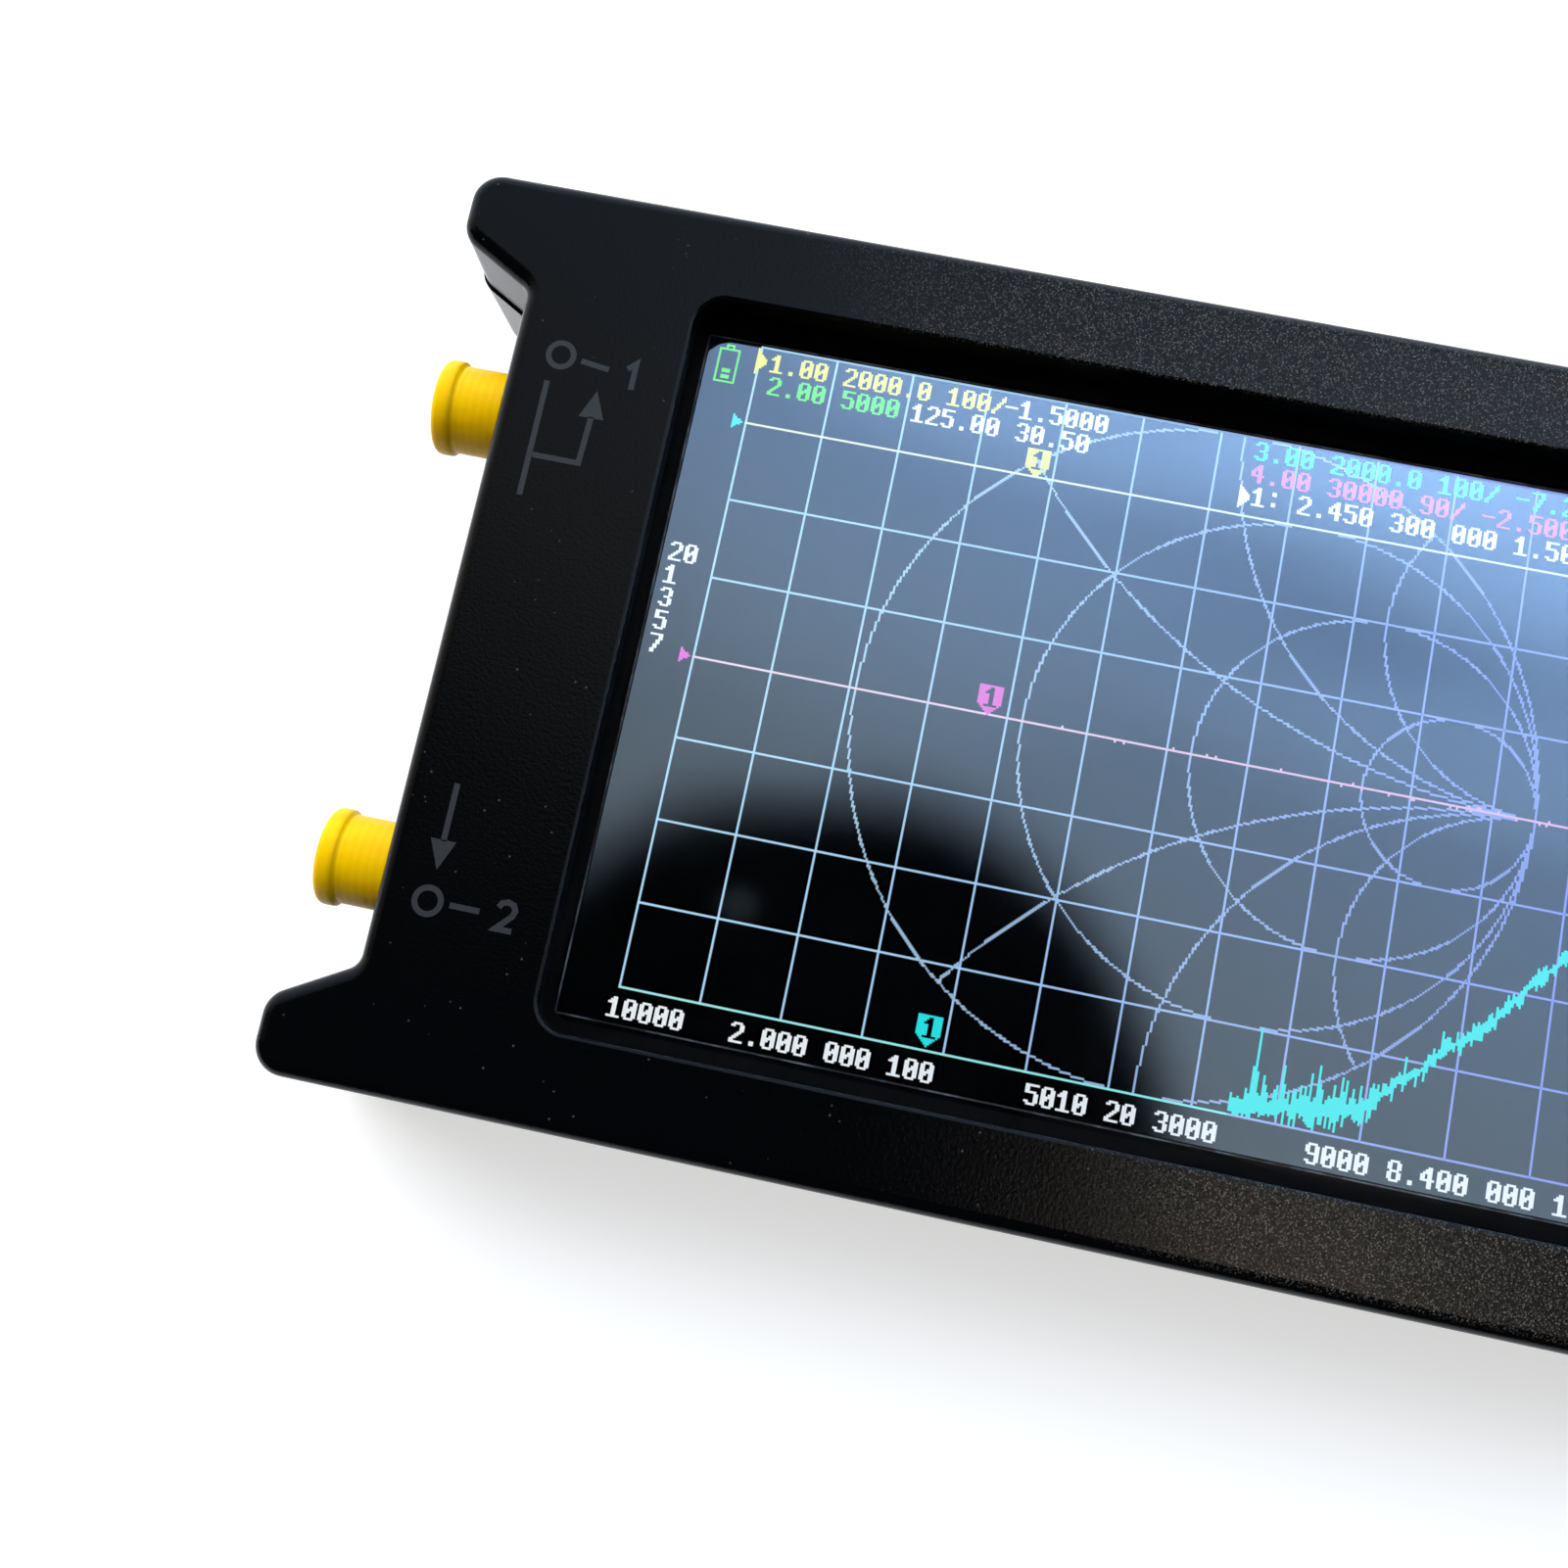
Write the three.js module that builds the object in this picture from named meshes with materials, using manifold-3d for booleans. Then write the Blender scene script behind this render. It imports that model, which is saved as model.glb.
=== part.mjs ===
// Handheld vector network analyzer, built the way it comes apart on a bench.
// Millimetres. It lies on its back: X runs from the two ports to the sockets at the other
// end, Y towards the top of the display, and Z out of the display. The origin is the middle
// of the part's box, on the surface that it lies on.
import * as THREE from "three";
import { mergeVertices } from "three/addons/utils/BufferGeometryUtils.js";
import Module from "manifold-3d";

const wasm = await Module();
wasm.setup();

// Clearances
const seat = 0.2; // between stacked and seated pieces
const running = 0.3; // around a piece that moves, or goes through a wall
const cut = 1; // how far a cutter runs past what it cuts

// Smoothness, in counts
const cornerSteps = 5;
const filletSteps = 3;
const roundSides = 20;
const smallSides = 12; // bosses, bores and shanks that the case hides
const capSides = 32;
const leadSides = 4; // on each half of a lead

// Case outline
const overallLength = 127; // from the ends of the dust caps to the far end of the case
const caseHeight = 73.9;
const caseDepth = 20;
const capProud = 0.35; // how far the dust caps reach past the horns
const hornLength = 6.3; // how far the two horns reach past the port wall
const hornTip = 5.9; // width of a horn at its end
const hornRoot = 9.5; // width of a horn at the port wall
const cornerRadius = 2.6;
const hornRadius = 2.4;
const waistRadius = 1.3;

// Case walls
const wall = 2;
const faceWall = 2.2;
const floorWall = 2;
const frontDepth = 8.6; // from the face to the seam
const seamGap = 0.25;
const seamStep = 0.15; // the rear shell is this much smaller at the seam
const frontDraft = 0.15;
const rearDraft = 0.3;
const faceFillet = 1.2;
const backFillet = 1.8;
const lipHeight = 1.1;
const lipWall = 0.8;

// Display opening and stack
const endBezel = 20.6; // from the ends of the part to the display opening
const sideBezel = 7.5; // from the long sides of the case to the display opening
const windowRadius = 2.4;
const gasketThick = 0.4;
const gasketShares = [0.35, 0.85]; // of the way from the window's edge to the touch panel's
const touchThick = 1;
const touchMargin = 5.1; // how far the touch panel reaches past the opening at each end
const panelInset = 1; // the panel and the light tray are smaller than the touch panel
const panelThick = 1.2;
const trayInset = 0.4;
const trayThick = 1.4;
const trayRim = 0.5;
const ribThick = 1.2;
const ribSetback = 2.25; // from the side wall to a locating rib
const ribReach = 4; // how far the locating ribs come down from the face
const longRibShare = 0.73; // of the touch panel's length
const shortRibShare = 0.48; // of the touch panel's height
const cornerRib = 8;
const cornerRibShare = 0.32; // of the touch panel's height, to the middle of a corner rib

// Ports
const portInset = 17.53; // from the long side of the case to the port's axis
const threadRadius = 3.1;
const threadPitch = 0.7;
const threadDepth = 0.28;
const threadTurns = 6;
const barrelRadius = 2.75;
const boreRadius = 2.3;
const dielectricRadius = 1.9;
const contactRadius = 0.6;
const tailRadius = 0.4;
const socketRadius = 0.3;
const socketDepth = 2;
const mouthDepth = 1.8; // from the jack's mouth to its insulator
const flangeSize = 7;
const flangeThick = 1.6;
const legLength = 3.6;
const legWidth = 1.1;
const legThick = 0.9;
const portHoleRadius = 4;

// Dust caps
const capGap = 0.75; // from the cap's open end to the jack's flange
const capBarrel = 3.62;
const capRim = 3.95;
const capRimWidth = 1;
const capEdge = 0.2;
const capBore = 3.3;
const capEnd = 0.9;

// Main board
const boardThick = 1.6;
const boardInset = 7.95; // from the long side walls to the board
const boardGap = 0.5; // to the wall at the far end
const tabGap = 1.35; // from the board's tab to the upper wall
const tabMargin = 0.3; // the tab is this much wider than the jog switch, on each side
const canGap = 0.3; // between the shield cans and the light tray
const canSpace = 4.42; // between one shield can and the next
const canWall = 0.3;
const canLength = 22;
const middleCanLength = 20;
const chipThick = 1;

// Battery
const cellSetback = 28.85; // from the board's port edge to the battery
const cellInset = 3; // the battery is this much narrower than the board, on each side
const cellGap = 1.3; // between the battery and the parts side of the board above it
const cellRound = 0.9;
const padInset = 5;
const padThick = 0.4;
const leadReach = 5; // from the battery to its plug
const plugGap = 0.5; // from the plug to the card socket
const leadRadius = 0.55;
const plugLength = 5;
const plugWidth = 8;
const plugHeight = 2.6;

// Screws
const caseScrewRadius = 1;
const caseHeadRadius = 1.9;
const caseHeadThick = 1.4;
const caseScrewLength = 11;
const headSink = 0.5; // how deep the head lies under the back
const caseBoss = 2.9;
const casePost = 3.4;
const bossGap = 0.3; // between a front boss and the rear post under it
const bossReach = 4.8; // how far a front boss reaches below the seam
const boardScrewRadius = 0.8;
const boardHeadRadius = 1.6;
const boardHeadThick = 1;
const boardScrewLength = 6;
const boardPost = 2.4;
const crossWidth = 0.5;
const crossDepth = 0.7;

// USB socket
const usbSpace = 3.65; // to the power switch
const usbWidth = 8.9;
const usbHeight = 3.2;
const usbDepth = 7.3;
const usbRound = 1.5;
const usbWall = 0.3;
const usbSink = 0.6; // from the case's end face to the socket's mouth
const tongueWidth = 6.6;
const tongueThick = 0.7;
const tongueLength = 4.6;

// Memory card socket
const cardSpace = 4.5; // to the board post beside it
const cardSocketWidth = 14;
const cardSocketDepth = 14.5;
const cardSocketThick = 1.7;
const cardSlotWidth = 11.8;
const cardSlotHeight = 1.3;
const cardWall = 0.35;

// Power switch
const powerSpace = 2.4; // to the board post beside it
const powerBodyDepth = 4.3;
const powerBodyWidth = 9;
const powerBodyHeight = 3.2;
const powerTravel = 2;
const powerKnobWidth = 3.4;
const powerKnobHeight = 2.2;
const powerStemWidth = 2;
const powerStemHeight = 1.2;
const powerStemDepth = 1.2;
const knobSink = 0.25; // the knobs end this far inside the case's faces

// Jog switch
const jogSpace = 0.9; // to the case boss beside it
const jogBodyWidth = 6.4;
const jogBodyHeight = 3.2;
const jogBackWall = 1;
const jogBlockWidth = 4.2;
const jogBlockDepth = 3;
const jogBlockHeight = 2.2;
const jogTravel = 0.5;
const jogHub = 1.2;
const jogHubThick = 0.9;
const jogPin = 0.4;
const jogPinGap = 0.15;
const jogArmWidth = 1.4;
const jogPadWidth = 4.6;
const jogPadDepth = 1.7;
const jogPadHeight = 1.9;
const jogSwing = 12; // degrees to each side

// Display ribbon
const ribbonWidth = 22;
const ribbonThick = 0.2;
const ribbonRun = 3.2;
const ribbonSocketLength = 2.2;
const ribbonSocketHeight = 1;

// Places that follow from the sizes above
const rightX = overallLength / 2;
const capX = -rightX;
const tipX = capX + capProud;
const waistX = tipX + hornLength;
const topY = caseHeight / 2;
const innerTop = topY - wall;
const innerRight = rightX - wall;
const seamHeight = caseDepth - frontDepth;
const faceUnder = caseDepth - faceWall;
const bossEnd = seamHeight - bossReach;
const caseScrewX = [waistX + wall + casePost, innerRight - casePost];
const caseScrewY = innerTop - casePost;
const tabCentre = caseScrewX[1] - caseBoss - jogSpace - jogBodyWidth / 2;
const tabLength = jogBodyWidth + 2 * tabMargin;
const tabTop = innerTop - tabGap;
const windowLength = overallLength - 2 * endBezel;
const windowHeight = caseHeight - 2 * sideBezel;
const touchLength = windowLength + 2 * touchMargin;
const touchHeight = 2 * (innerTop - ribSetback - ribThick - running);
const panelLength = touchLength - 2 * panelInset;
const panelHeight = touchHeight - 2 * panelInset;
const trayLength = touchLength - 2 * trayInset;
const trayHeight = touchHeight - 2 * trayInset;
const touchTop = faceUnder - gasketThick - 2 * seat;
const touchBottom = touchTop - touchThick;
const panelTop = touchBottom - seat;
const panelBottom = panelTop - panelThick;
const trayTop = panelBottom - seat;
const trayBottom = trayTop - trayThick;
const portY = topY - portInset;
const boardTop = seamHeight - tailRadius - seat / 2;
const boardBottom = boardTop - boardThick;
const partsTop = boardTop + seat; // where parts on the board's upper side start
const partsUnder = boardBottom - seat;
const flangeX = waistX + wall + seat;
const flangeBack = flangeX + flangeThick;
const capLength = flangeX - capGap - capX;
const boardLeft = flangeBack + seat;
const boardRight = innerRight - boardGap;
const boardHeight = 2 * (innerTop - boardInset);
const boardScrewY = boardHeight / 2 - boardPost - seat;
const powerPlace = boardScrewY - boardPost - powerSpace - powerBodyWidth / 2;
const powerY = powerPlace - powerTravel / 2;
const usbPlace = powerPlace - powerBodyWidth / 2 - usbSpace - usbWidth / 2;
const cardPlace = cardSocketWidth / 2 + cardSpace + boardPost - boardScrewY;
const canHeight = trayBottom - canGap - partsTop;
const canWidth = portY - canSpace;
const plugX = boardRight - cardSocketDepth - plugGap - plugLength;
const cellEnd = plugX - leadReach;
const cellLength = cellEnd - boardLeft - cellSetback;
const cellCentre = cellEnd - cellLength / 2;
const cellWidth = boardHeight - 2 * cellInset;
const cellBottom = floorWall + padThick + 2 * seat;
const cellThick = partsUnder - cellGap - cellBottom;
const socketMid = partsTop + jogBodyHeight / 2; // height of the switches' middles
const usbMid = partsTop + usbHeight / 2;
const cardMid = partsUnder - cardSocketThick / 2;
const jogPivotY = tabTop - jogHub - jogTravel - seat;
const knobTopY = topY - frontDraft - knobSink;
const knobEndX = rightX - frontDraft - knobSink;

// Materials, with the colours that the outside shows
function plain(color, roughness, metalness = 0) {
  return new THREE.MeshStandardMaterial({ color, roughness, metalness });
}
const caseBlack = plain(0x17191e, 0.55);
const switchBlack = plain(0x111214, 0.5);
const capYellow = plain(0xf2c800, 0.45);
const gold = plain(0xd9b35a, 0.28, 1);
const steel = plain(0xb9bcc0, 0.3, 1);
const insulatorWhite = plain(0xf2efe6, 0.6);
const boardGreen = plain(0x14231c, 0.5);
const chipBlack = plain(0x1b1b1d, 0.6);
const glassGrey = plain(0x0e1117, 0.08);
const displayGrey = plain(0x59616c, 0.3);
const cellSilver = plain(0xb4b8bb, 0.45);
const foamBlack = plain(0x1a1a1a, 0.9);
const ribbonAmber = plain(0x9a5a1c, 0.4);
const leadRed = plain(0xb0201c, 0.5);
const leadBlack = plain(0x141414, 0.5);

// Solids: a closed geometry goes in, and what joins and cuts it comes out.
function solid(geometry) {
  const bare = geometry.clone();
  bare.deleteAttribute("normal");
  bare.deleteAttribute("uv");
  const merged = mergeVertices(bare, cut / 1e4);
  return new wasm.Manifold(
    new wasm.Mesh({
      numProp: 3,
      vertProperties: merged.attributes.position.array,
      triVerts: new Uint32Array(merged.index.array),
    }),
  );
}

function join(first, ...others) {
  return others.reduce((whole, piece) => whole.add(piece), first);
}

function carve(first, ...cutters) {
  return cutters.reduce((whole, cutter) => whole.subtract(cutter), first);
}

const assembly = new THREE.Group();

function place(name, shape, material) {
  const made = shape.getMesh();
  const geometry = new THREE.BufferGeometry();
  const points = new THREE.BufferAttribute(made.vertProperties, 3);
  geometry.setAttribute("position", points);
  geometry.setIndex(new THREE.BufferAttribute(made.triVerts, 1));
  geometry.computeVertexNormals();
  const mesh = new THREE.Mesh(geometry, material);
  mesh.name = name;
  assembly.add(mesh);
}

// A block between two opposite corners.
function block([x0, x1], [y0, y1], [z0, z1]) {
  const geometry = new THREE.BoxGeometry(x1 - x0, y1 - y0, z1 - z0);
  geometry.translate((x0 + x1) / 2, (y0 + y1) / 2, (z0 + z1) / 2);
  return solid(geometry);
}

function about(middle, size) {
  return [middle - size / 2, middle + size / 2];
}

// A round rod that stands up from z0 to z1.
function post(radius, [x, y], [z0, z1], sides = roundSides) {
  const geometry = new THREE.CylinderGeometry(radius, radius, z1 - z0, sides);
  geometry.rotateX(Math.PI / 2);
  geometry.translate(x, y, (z0 + z1) / 2);
  return solid(geometry);
}

// A round rod along X.
function rod(radius, [x0, x1], [y, z], sides = roundSides) {
  const geometry = new THREE.CylinderGeometry(radius, radius, x1 - x0, sides);
  geometry.rotateZ(Math.PI / 2);
  geometry.translate((x0 + x1) / 2, y, z);
  return solid(geometry);
}

// A turned piece: its profile is radius and distance along +X, turned about a line at y and z.
function turned(profile, [y, z], sides = roundSides) {
  const points = profile.map(([radius, x]) => new THREE.Vector2(radius, x));
  const geometry = new THREE.LatheGeometry(points, sides);
  geometry.rotateZ(-Math.PI / 2);
  geometry.translate(0, y, z);
  return solid(geometry);
}

// The points of a closed outline of straight sides and round corners, with every side moved
// in by the inset. Corners are x, y and radius, and run anticlockwise. A round corner that an
// inset would use up keeps this share of its radius.
const leastRadiusShare = 0.05;

function outline(corners, inset = 0) {
  const count = corners.length;
  const sides = corners.map(([x, y], i) => {
    const [nextX, nextY] = corners[(i + 1) % count];
    const length = Math.hypot(nextX - x, nextY - y);
    const [ux, uy] = [(nextX - x) / length, (nextY - y) / length];
    return { x: x - uy * inset, y: y + ux * inset, ux, uy };
  });
  const points = [];
  corners.forEach(([, , cornerSize], i) => {
    const before = sides[(i + count - 1) % count];
    const after = sides[i];
    const sine = before.ux * after.uy - before.uy * after.ux;
    const cosine = before.ux * after.ux + before.uy * after.uy;
    const along =
      ((after.x - before.x) * after.uy - (after.y - before.y) * after.ux) / sine;
    const hand = Math.sign(sine);
    const radius = Math.max(cornerSize - hand * inset, cornerSize * leastRadiusShare);
    const turn = Math.atan2(sine, cosine);
    const back = along - radius * Math.tan(Math.abs(turn) / 2);
    const centreX = before.x + before.ux * back - before.uy * radius * hand;
    const centreY = before.y + before.uy * back + before.ux * radius * hand;
    for (let k = 0; k <= cornerSteps; k++) {
      const angle = (turn * k) / cornerSteps;
      const outX = before.uy * hand * Math.cos(angle) + before.ux * hand * Math.sin(angle);
      const outY = before.uy * hand * Math.sin(angle) - before.ux * hand * Math.cos(angle);
      points.push(new THREE.Vector2(centreX + radius * outX, centreY + radius * outY));
    }
  });
  return points;
}

// A closed solid through the same outline at several heights, each with its own inset.
function loft(corners, levels) {
  const rings = levels.map(([, inset]) => outline(corners, inset));
  const count = rings[0].length;
  const positions = [];
  rings.forEach((ring, level) => {
    ring.forEach((p) => positions.push(p.x, p.y, levels[level][0]));
  });
  const faces = [];
  for (let level = 0; level + 1 < rings.length; level++) {
    for (let i = 0; i < count; i++) {
      const a = level * count + i;
      const b = level * count + ((i + 1) % count);
      faces.push(a, b, b + count, a, b + count, a + count);
    }
  }
  const last = (rings.length - 1) * count;
  THREE.ShapeUtils.triangulateShape(rings[0], []).forEach(([a, b, c]) => faces.push(c, b, a));
  THREE.ShapeUtils.triangulateShape(rings.at(-1), []).forEach(([a, b, c]) =>
    faces.push(last + a, last + b, last + c),
  );
  const geometry = new THREE.BufferGeometry();
  geometry.setAttribute("position", new THREE.Float32BufferAttribute(positions, 3));
  geometry.setIndex(faces);
  return solid(geometry);
}

// The corners of a rectangle about a middle point.
function rectangle(length, width, radius, [x, y] = [0, 0]) {
  const [x0, x1] = about(x, length);
  const [y0, y1] = about(y, width);
  return [
    [x0, y0, radius],
    [x1, y0, radius],
    [x1, y1, radius],
    [x0, y1, radius],
  ];
}

// Heights and insets of a quarter-round edge, from its start to its end.
function edgeLevels(start, rise, size, inset) {
  const levels = [];
  for (let k = 1; k <= filletSteps; k++) {
    const angle = (k / filletSteps) * (Math.PI / 2);
    const height = start + rise * size * Math.sin(angle);
    levels.push([height, inset + size * (1 - Math.cos(angle))]);
  }
  return levels;
}

// Case outline: a plain rectangle whose left end keeps a horn at the top and at the bottom,
// with the port wall set back between them.
const caseCorners = [
  [tipX, -topY, cornerRadius],
  [rightX, -topY, cornerRadius],
  [rightX, topY, cornerRadius],
  [tipX, topY, cornerRadius],
  [tipX, topY - hornTip, hornRadius],
  [waistX, topY - hornRoot, waistRadius],
  [waistX, hornRoot - topY, waistRadius],
  [tipX, hornTip - topY, hornRadius],
];

// Places of the fasteners
const caseScrews = [];
for (const x of caseScrewX) for (const side of [1, -1]) caseScrews.push([x, side * caseScrewY]);
const boardScrews = [
  [boardLeft + 2 * boardPost, boardPost * 2],
  [boardLeft + 2 * boardPost, -boardPost * 2],
  [tabCentre - seat, boardScrewY],
  [tabCentre - seat, -boardScrewY],
];

// Openings that go through both shells where they meet them
function wallCutters() {
  const jogOpening = jogPadWidth + 2 * (knobTopY - jogPivotY) * Math.sin(radians(jogSwing));
  const usbWay = rectangle(usbHeight, usbWidth, usbRound);
  const cutters = [1, -1].map((side) =>
    rod(portHoleRadius, [waistX - cut, waistX + wall + cut], [side * portY, seamHeight]),
  );
  const slotX = [innerRight - cut, rightX + cut];
  cutters.push(
    alongX(outline(usbWay, -running), slotX, [usbPlace, usbMid]),
    block(slotX, about(cardPlace, cardSlotWidth), about(cardMid, cardSlotHeight)),
    block(
      slotX,
      about(powerPlace, powerKnobWidth + powerTravel + 2 * running),
      about(socketMid, powerKnobHeight + 2 * running),
    ),
    block(
      about(tabCentre, jogOpening + 2 * running),
      [innerTop - cut, topY + cut],
      about(socketMid, jogPadHeight + 2 * running),
    ),
  );
  return cutters;
}

function radians(degrees) {
  return (degrees * Math.PI) / 180;
}

// A prism along X through points whose x is height and y is width.
function alongX(points, [x0, x1], [y, z], holes = []) {
  const shape = new THREE.Shape(points);
  shape.holes = holes.map((hole) => new THREE.Path(hole));
  const geometry = new THREE.ExtrudeGeometry(shape, { depth: x1 - x0, bevelEnabled: false });
  geometry.rotateY(Math.PI / 2);
  geometry.rotateX(Math.PI);
  geometry.translate(x0, y, z);
  return solid(geometry);
}

// Front shell: face, side walls to the seam, display opening, bosses for the case screws and
// ribs that locate the display.
function frontShell() {
  const start = seamHeight + seamGap / 2;
  const outside = [
    [start, 0],
    [caseDepth - faceFillet, frontDraft],
    ...edgeLevels(caseDepth - faceFillet, 1, faceFillet, frontDraft),
  ];
  const shell = carve(
    loft(caseCorners, outside),
    loft(caseCorners, [
      [start - cut, wall],
      [faceUnder, wall],
    ]),
    loft(caseCorners, [
      [start - cut, wall - lipWall - seat],
      [start + lipHeight + seat, wall - lipWall - seat],
    ]),
    loft(rectangle(windowLength, windowHeight, windowRadius), [
      [faceUnder - cut, 0],
      [caseDepth + cut, 0],
    ]),
  );
  const overlap = faceWall / 2;
  const bossZ = [bossEnd, faceUnder + overlap];
  const boreZ = [bossEnd - cut, headSink + caseHeadThick + caseScrewLength + seat];
  const bosses = caseScrews.map((spot) => post(caseBoss, spot, bossZ, smallSides));
  const bores = caseScrews.map((spot) => post(caseScrewRadius + seat, spot, boreZ, smallSides));
  const ribZ = [faceUnder - ribReach, faceUnder + overlap];
  const ribY = touchHeight / 2 + running + ribThick / 2;
  const ribX = touchLength / 2 + running + ribThick / 2;
  const ribs = [1, -1].flatMap((side) => [
    block(about(0, longRibShare * touchLength), about(side * ribY, ribThick), ribZ),
    block(about(ribX, ribThick), about(side * cornerRibShare * touchHeight, cornerRib), ribZ),
  ]);
  ribs.push(block(about(-ribX, ribThick), about(0, shortRibShare * touchHeight), ribZ));
  return carve(join(shell, ...bosses, ...ribs), ...bores, ...wallCutters());
}

// Rear shell: a tray with rounded lower edges, a lip that enters the front shell, posts for
// the case screws, posts for the board and ribs round the battery.
function rearShell() {
  const end = seamHeight - seamGap / 2;
  const low = seamStep + rearDraft;
  const outside = [
    ...edgeLevels(backFillet, -1, backFillet, low).reverse(),
    [backFillet, low],
    [end, seamStep],
  ];
  const lip = carve(
    loft(caseCorners, [
      [end - cut, wall - lipWall],
      [end + lipHeight, wall - lipWall],
    ]),
    loft(caseCorners, [
      [end - 2 * cut, wall],
      [end + 2 * lipHeight, wall],
    ]),
  );
  const tray = carve(
    loft(caseCorners, outside),
    loft(caseCorners, [
      [floorWall, wall + low],
      [end - cut, wall],
      [end + cut, wall],
    ]),
  );
  const overlap = floorWall / 2;
  const posts = caseScrews.map((spot) =>
    post(casePost, spot, [overlap, bossEnd - bossGap], smallSides),
  );
  const standoffs = boardScrews.map((spot) =>
    post(boardPost, spot, [overlap, partsUnder], smallSides),
  );
  const ribHeight = cellBottom + cellThick / 2;
  const ribY = cellWidth / 2 + running + ribThick / 2;
  const ribX = cellLength / 2 + running + ribThick / 2;
  const ribs = [1, -1].flatMap((side) => [
    block(about(cellCentre, cellLength / 2), about(side * ribY, ribThick), [overlap, ribHeight]),
    block(about(cellCentre + side * ribX, ribThick), about(cellWidth / -4, cornerRib), [
      overlap,
      ribHeight,
    ]),
  ]);
  const bores = caseScrews.flatMap((spot) => [
    post(caseScrewRadius + running, spot, [-cut, bossEnd], smallSides),
    post(caseHeadRadius + running, spot, [-cut, headSink + caseHeadThick + seat]),
  ]);
  const boardBoreZ = [partsTop - boardScrewLength - seat, boardTop];
  const boardBores = boardScrews.map((spot) =>
    post(boardScrewRadius + seat, spot, boardBoreZ, smallSides),
  );
  const body = join(tray, lip, ...posts, ...standoffs, ...ribs);
  return carve(body, ...bores, ...boardBores, ...wallCutters());
}

// A pan-head screw with a cross recess, head at the end that its direction points to.
function screw([x, y], headZ, up, [shankRadius, shankLength], [headRadius, headThick]) {
  const tip = headZ - up * shankLength;
  const top = headZ + up * headThick;
  const span = (a, b) => [Math.min(a, b), Math.max(a, b)];
  const whole = join(
    post(shankRadius, [x, y], span(tip, headZ + (up * headThick) / 2), smallSides),
    post(headRadius, [x, y], span(headZ, top)),
  );
  const depth = span(top - up * crossDepth, top + up * cut);
  return carve(
    whole,
    block(about(x, headRadius * 1.2), about(y, crossWidth), depth),
    block(about(x, crossWidth), about(y, headRadius * 1.2), depth),
  );
}

// Display stack, from the gasket under the face down to the light tray.
function flatPlate(length, width, radius, [z0, z1]) {
  return loft(rectangle(length, width, radius), [
    [z0, 0],
    [z1, 0],
  ]);
}

function displayGasket() {
  const span = [touchTop + seat, touchTop + seat + gasketThick];
  const [inner, outer] = gasketShares.map((share) => [
    windowLength + share * (touchLength - windowLength),
    windowHeight + share * (touchHeight - windowHeight),
  ]);
  return carve(
    flatPlate(...outer, windowRadius, span),
    flatPlate(...inner, windowRadius, [span[0] - cut, span[1] + cut]),
  );
}

function lightTray() {
  const pocket = flatPlate(trayLength - 2 * trayRim, trayHeight - 2 * trayRim, trayRim, [
    trayTop - trayRim,
    trayTop + cut,
  ]);
  return carve(flatPlate(trayLength, trayHeight, trayRim, [trayBottom, trayTop]), pocket);
}

// Ribbon from the light tray's edge, round a half turn, into its socket on the board.
function ribbonPath(level, reach, radius) {
  const start = trayLength / 2 + seat;
  const endX = start + ribbonRun;
  const points = [new THREE.Vector2(start, level)];
  for (let k = 0; k <= 2 * cornerSteps; k++) {
    const angle = Math.PI / 2 - (Math.PI * k) / (2 * cornerSteps);
    points.push(
      new THREE.Vector2(endX + radius * Math.cos(angle), reach + radius * Math.sin(angle)),
    );
  }
  points.push(new THREE.Vector2(endX - seat, reach - radius));
  return points;
}

const ribbonTop = trayTop - trayThick / 3;
const ribbonLow = partsTop + ribbonSocketHeight / 2;
const ribbonMid = (ribbonTop + ribbonLow) / 2;
const ribbonRadius = (ribbonTop - ribbonLow) / 2;

function displayRibbon() {
  const outer = ribbonPath(ribbonTop, ribbonMid, ribbonRadius);
  const inner = ribbonPath(
    ribbonTop - ribbonThick,
    ribbonMid,
    ribbonRadius - ribbonThick,
  ).reverse();
  const shape = new THREE.Shape([...outer, ...inner]);
  const geometry = new THREE.ExtrudeGeometry(shape, {
    depth: ribbonWidth,
    bevelEnabled: false,
  });
  geometry.rotateX(Math.PI / 2);
  geometry.translate(0, ribbonWidth / 2, 0);
  return solid(geometry);
}

function ribbonSocket() {
  const end = trayLength / 2 + ribbonRun - 2 * seat;
  return block(
    [end - ribbonSocketLength, end],
    about(0, ribbonWidth + 2 * legWidth),
    [partsTop, partsTop + ribbonSocketHeight],
  );
}

// Main board, with a tab that carries the jog switch to the upper wall.
function mainBoard() {
  const halfHeight = boardHeight / 2;
  const [tabLeft, tabRight] = about(tabCentre, tabLength);
  const shape = new THREE.Shape(
    [
      [boardLeft, -halfHeight],
      [boardRight, -halfHeight],
      [boardRight, halfHeight],
      [tabRight, halfHeight],
      [tabRight, tabTop],
      [tabLeft, tabTop],
      [tabLeft, halfHeight],
      [boardLeft, halfHeight],
    ].map(([x, y]) => new THREE.Vector2(x, y)),
  );
  const geometry = new THREE.ExtrudeGeometry(shape, { depth: boardThick, bevelEnabled: false });
  geometry.translate(0, 0, boardBottom);
  const through = [boardBottom - cut, boardTop + cut];
  const holes = boardScrews.map((spot) =>
    post(boardScrewRadius + running, spot, through, smallSides),
  );
  const bossNotches = caseScrews.map((spot) =>
    post(caseBoss + running, spot, through, smallSides),
  );
  return carve(solid(geometry), ...holes, ...bossNotches);
}

// A folded metal can over one part of the circuit, open towards the board.
function shieldCan([x0, x1], [y0, y1]) {
  return carve(
    block([x0, x1], [y0, y1], [partsTop, partsTop + canHeight]),
    block(
      [x0 + canWall, x1 - canWall],
      [y0 + canWall, y1 - canWall],
      [partsTop - cut, partsTop + canHeight - canWall],
    ),
  );
}

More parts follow.
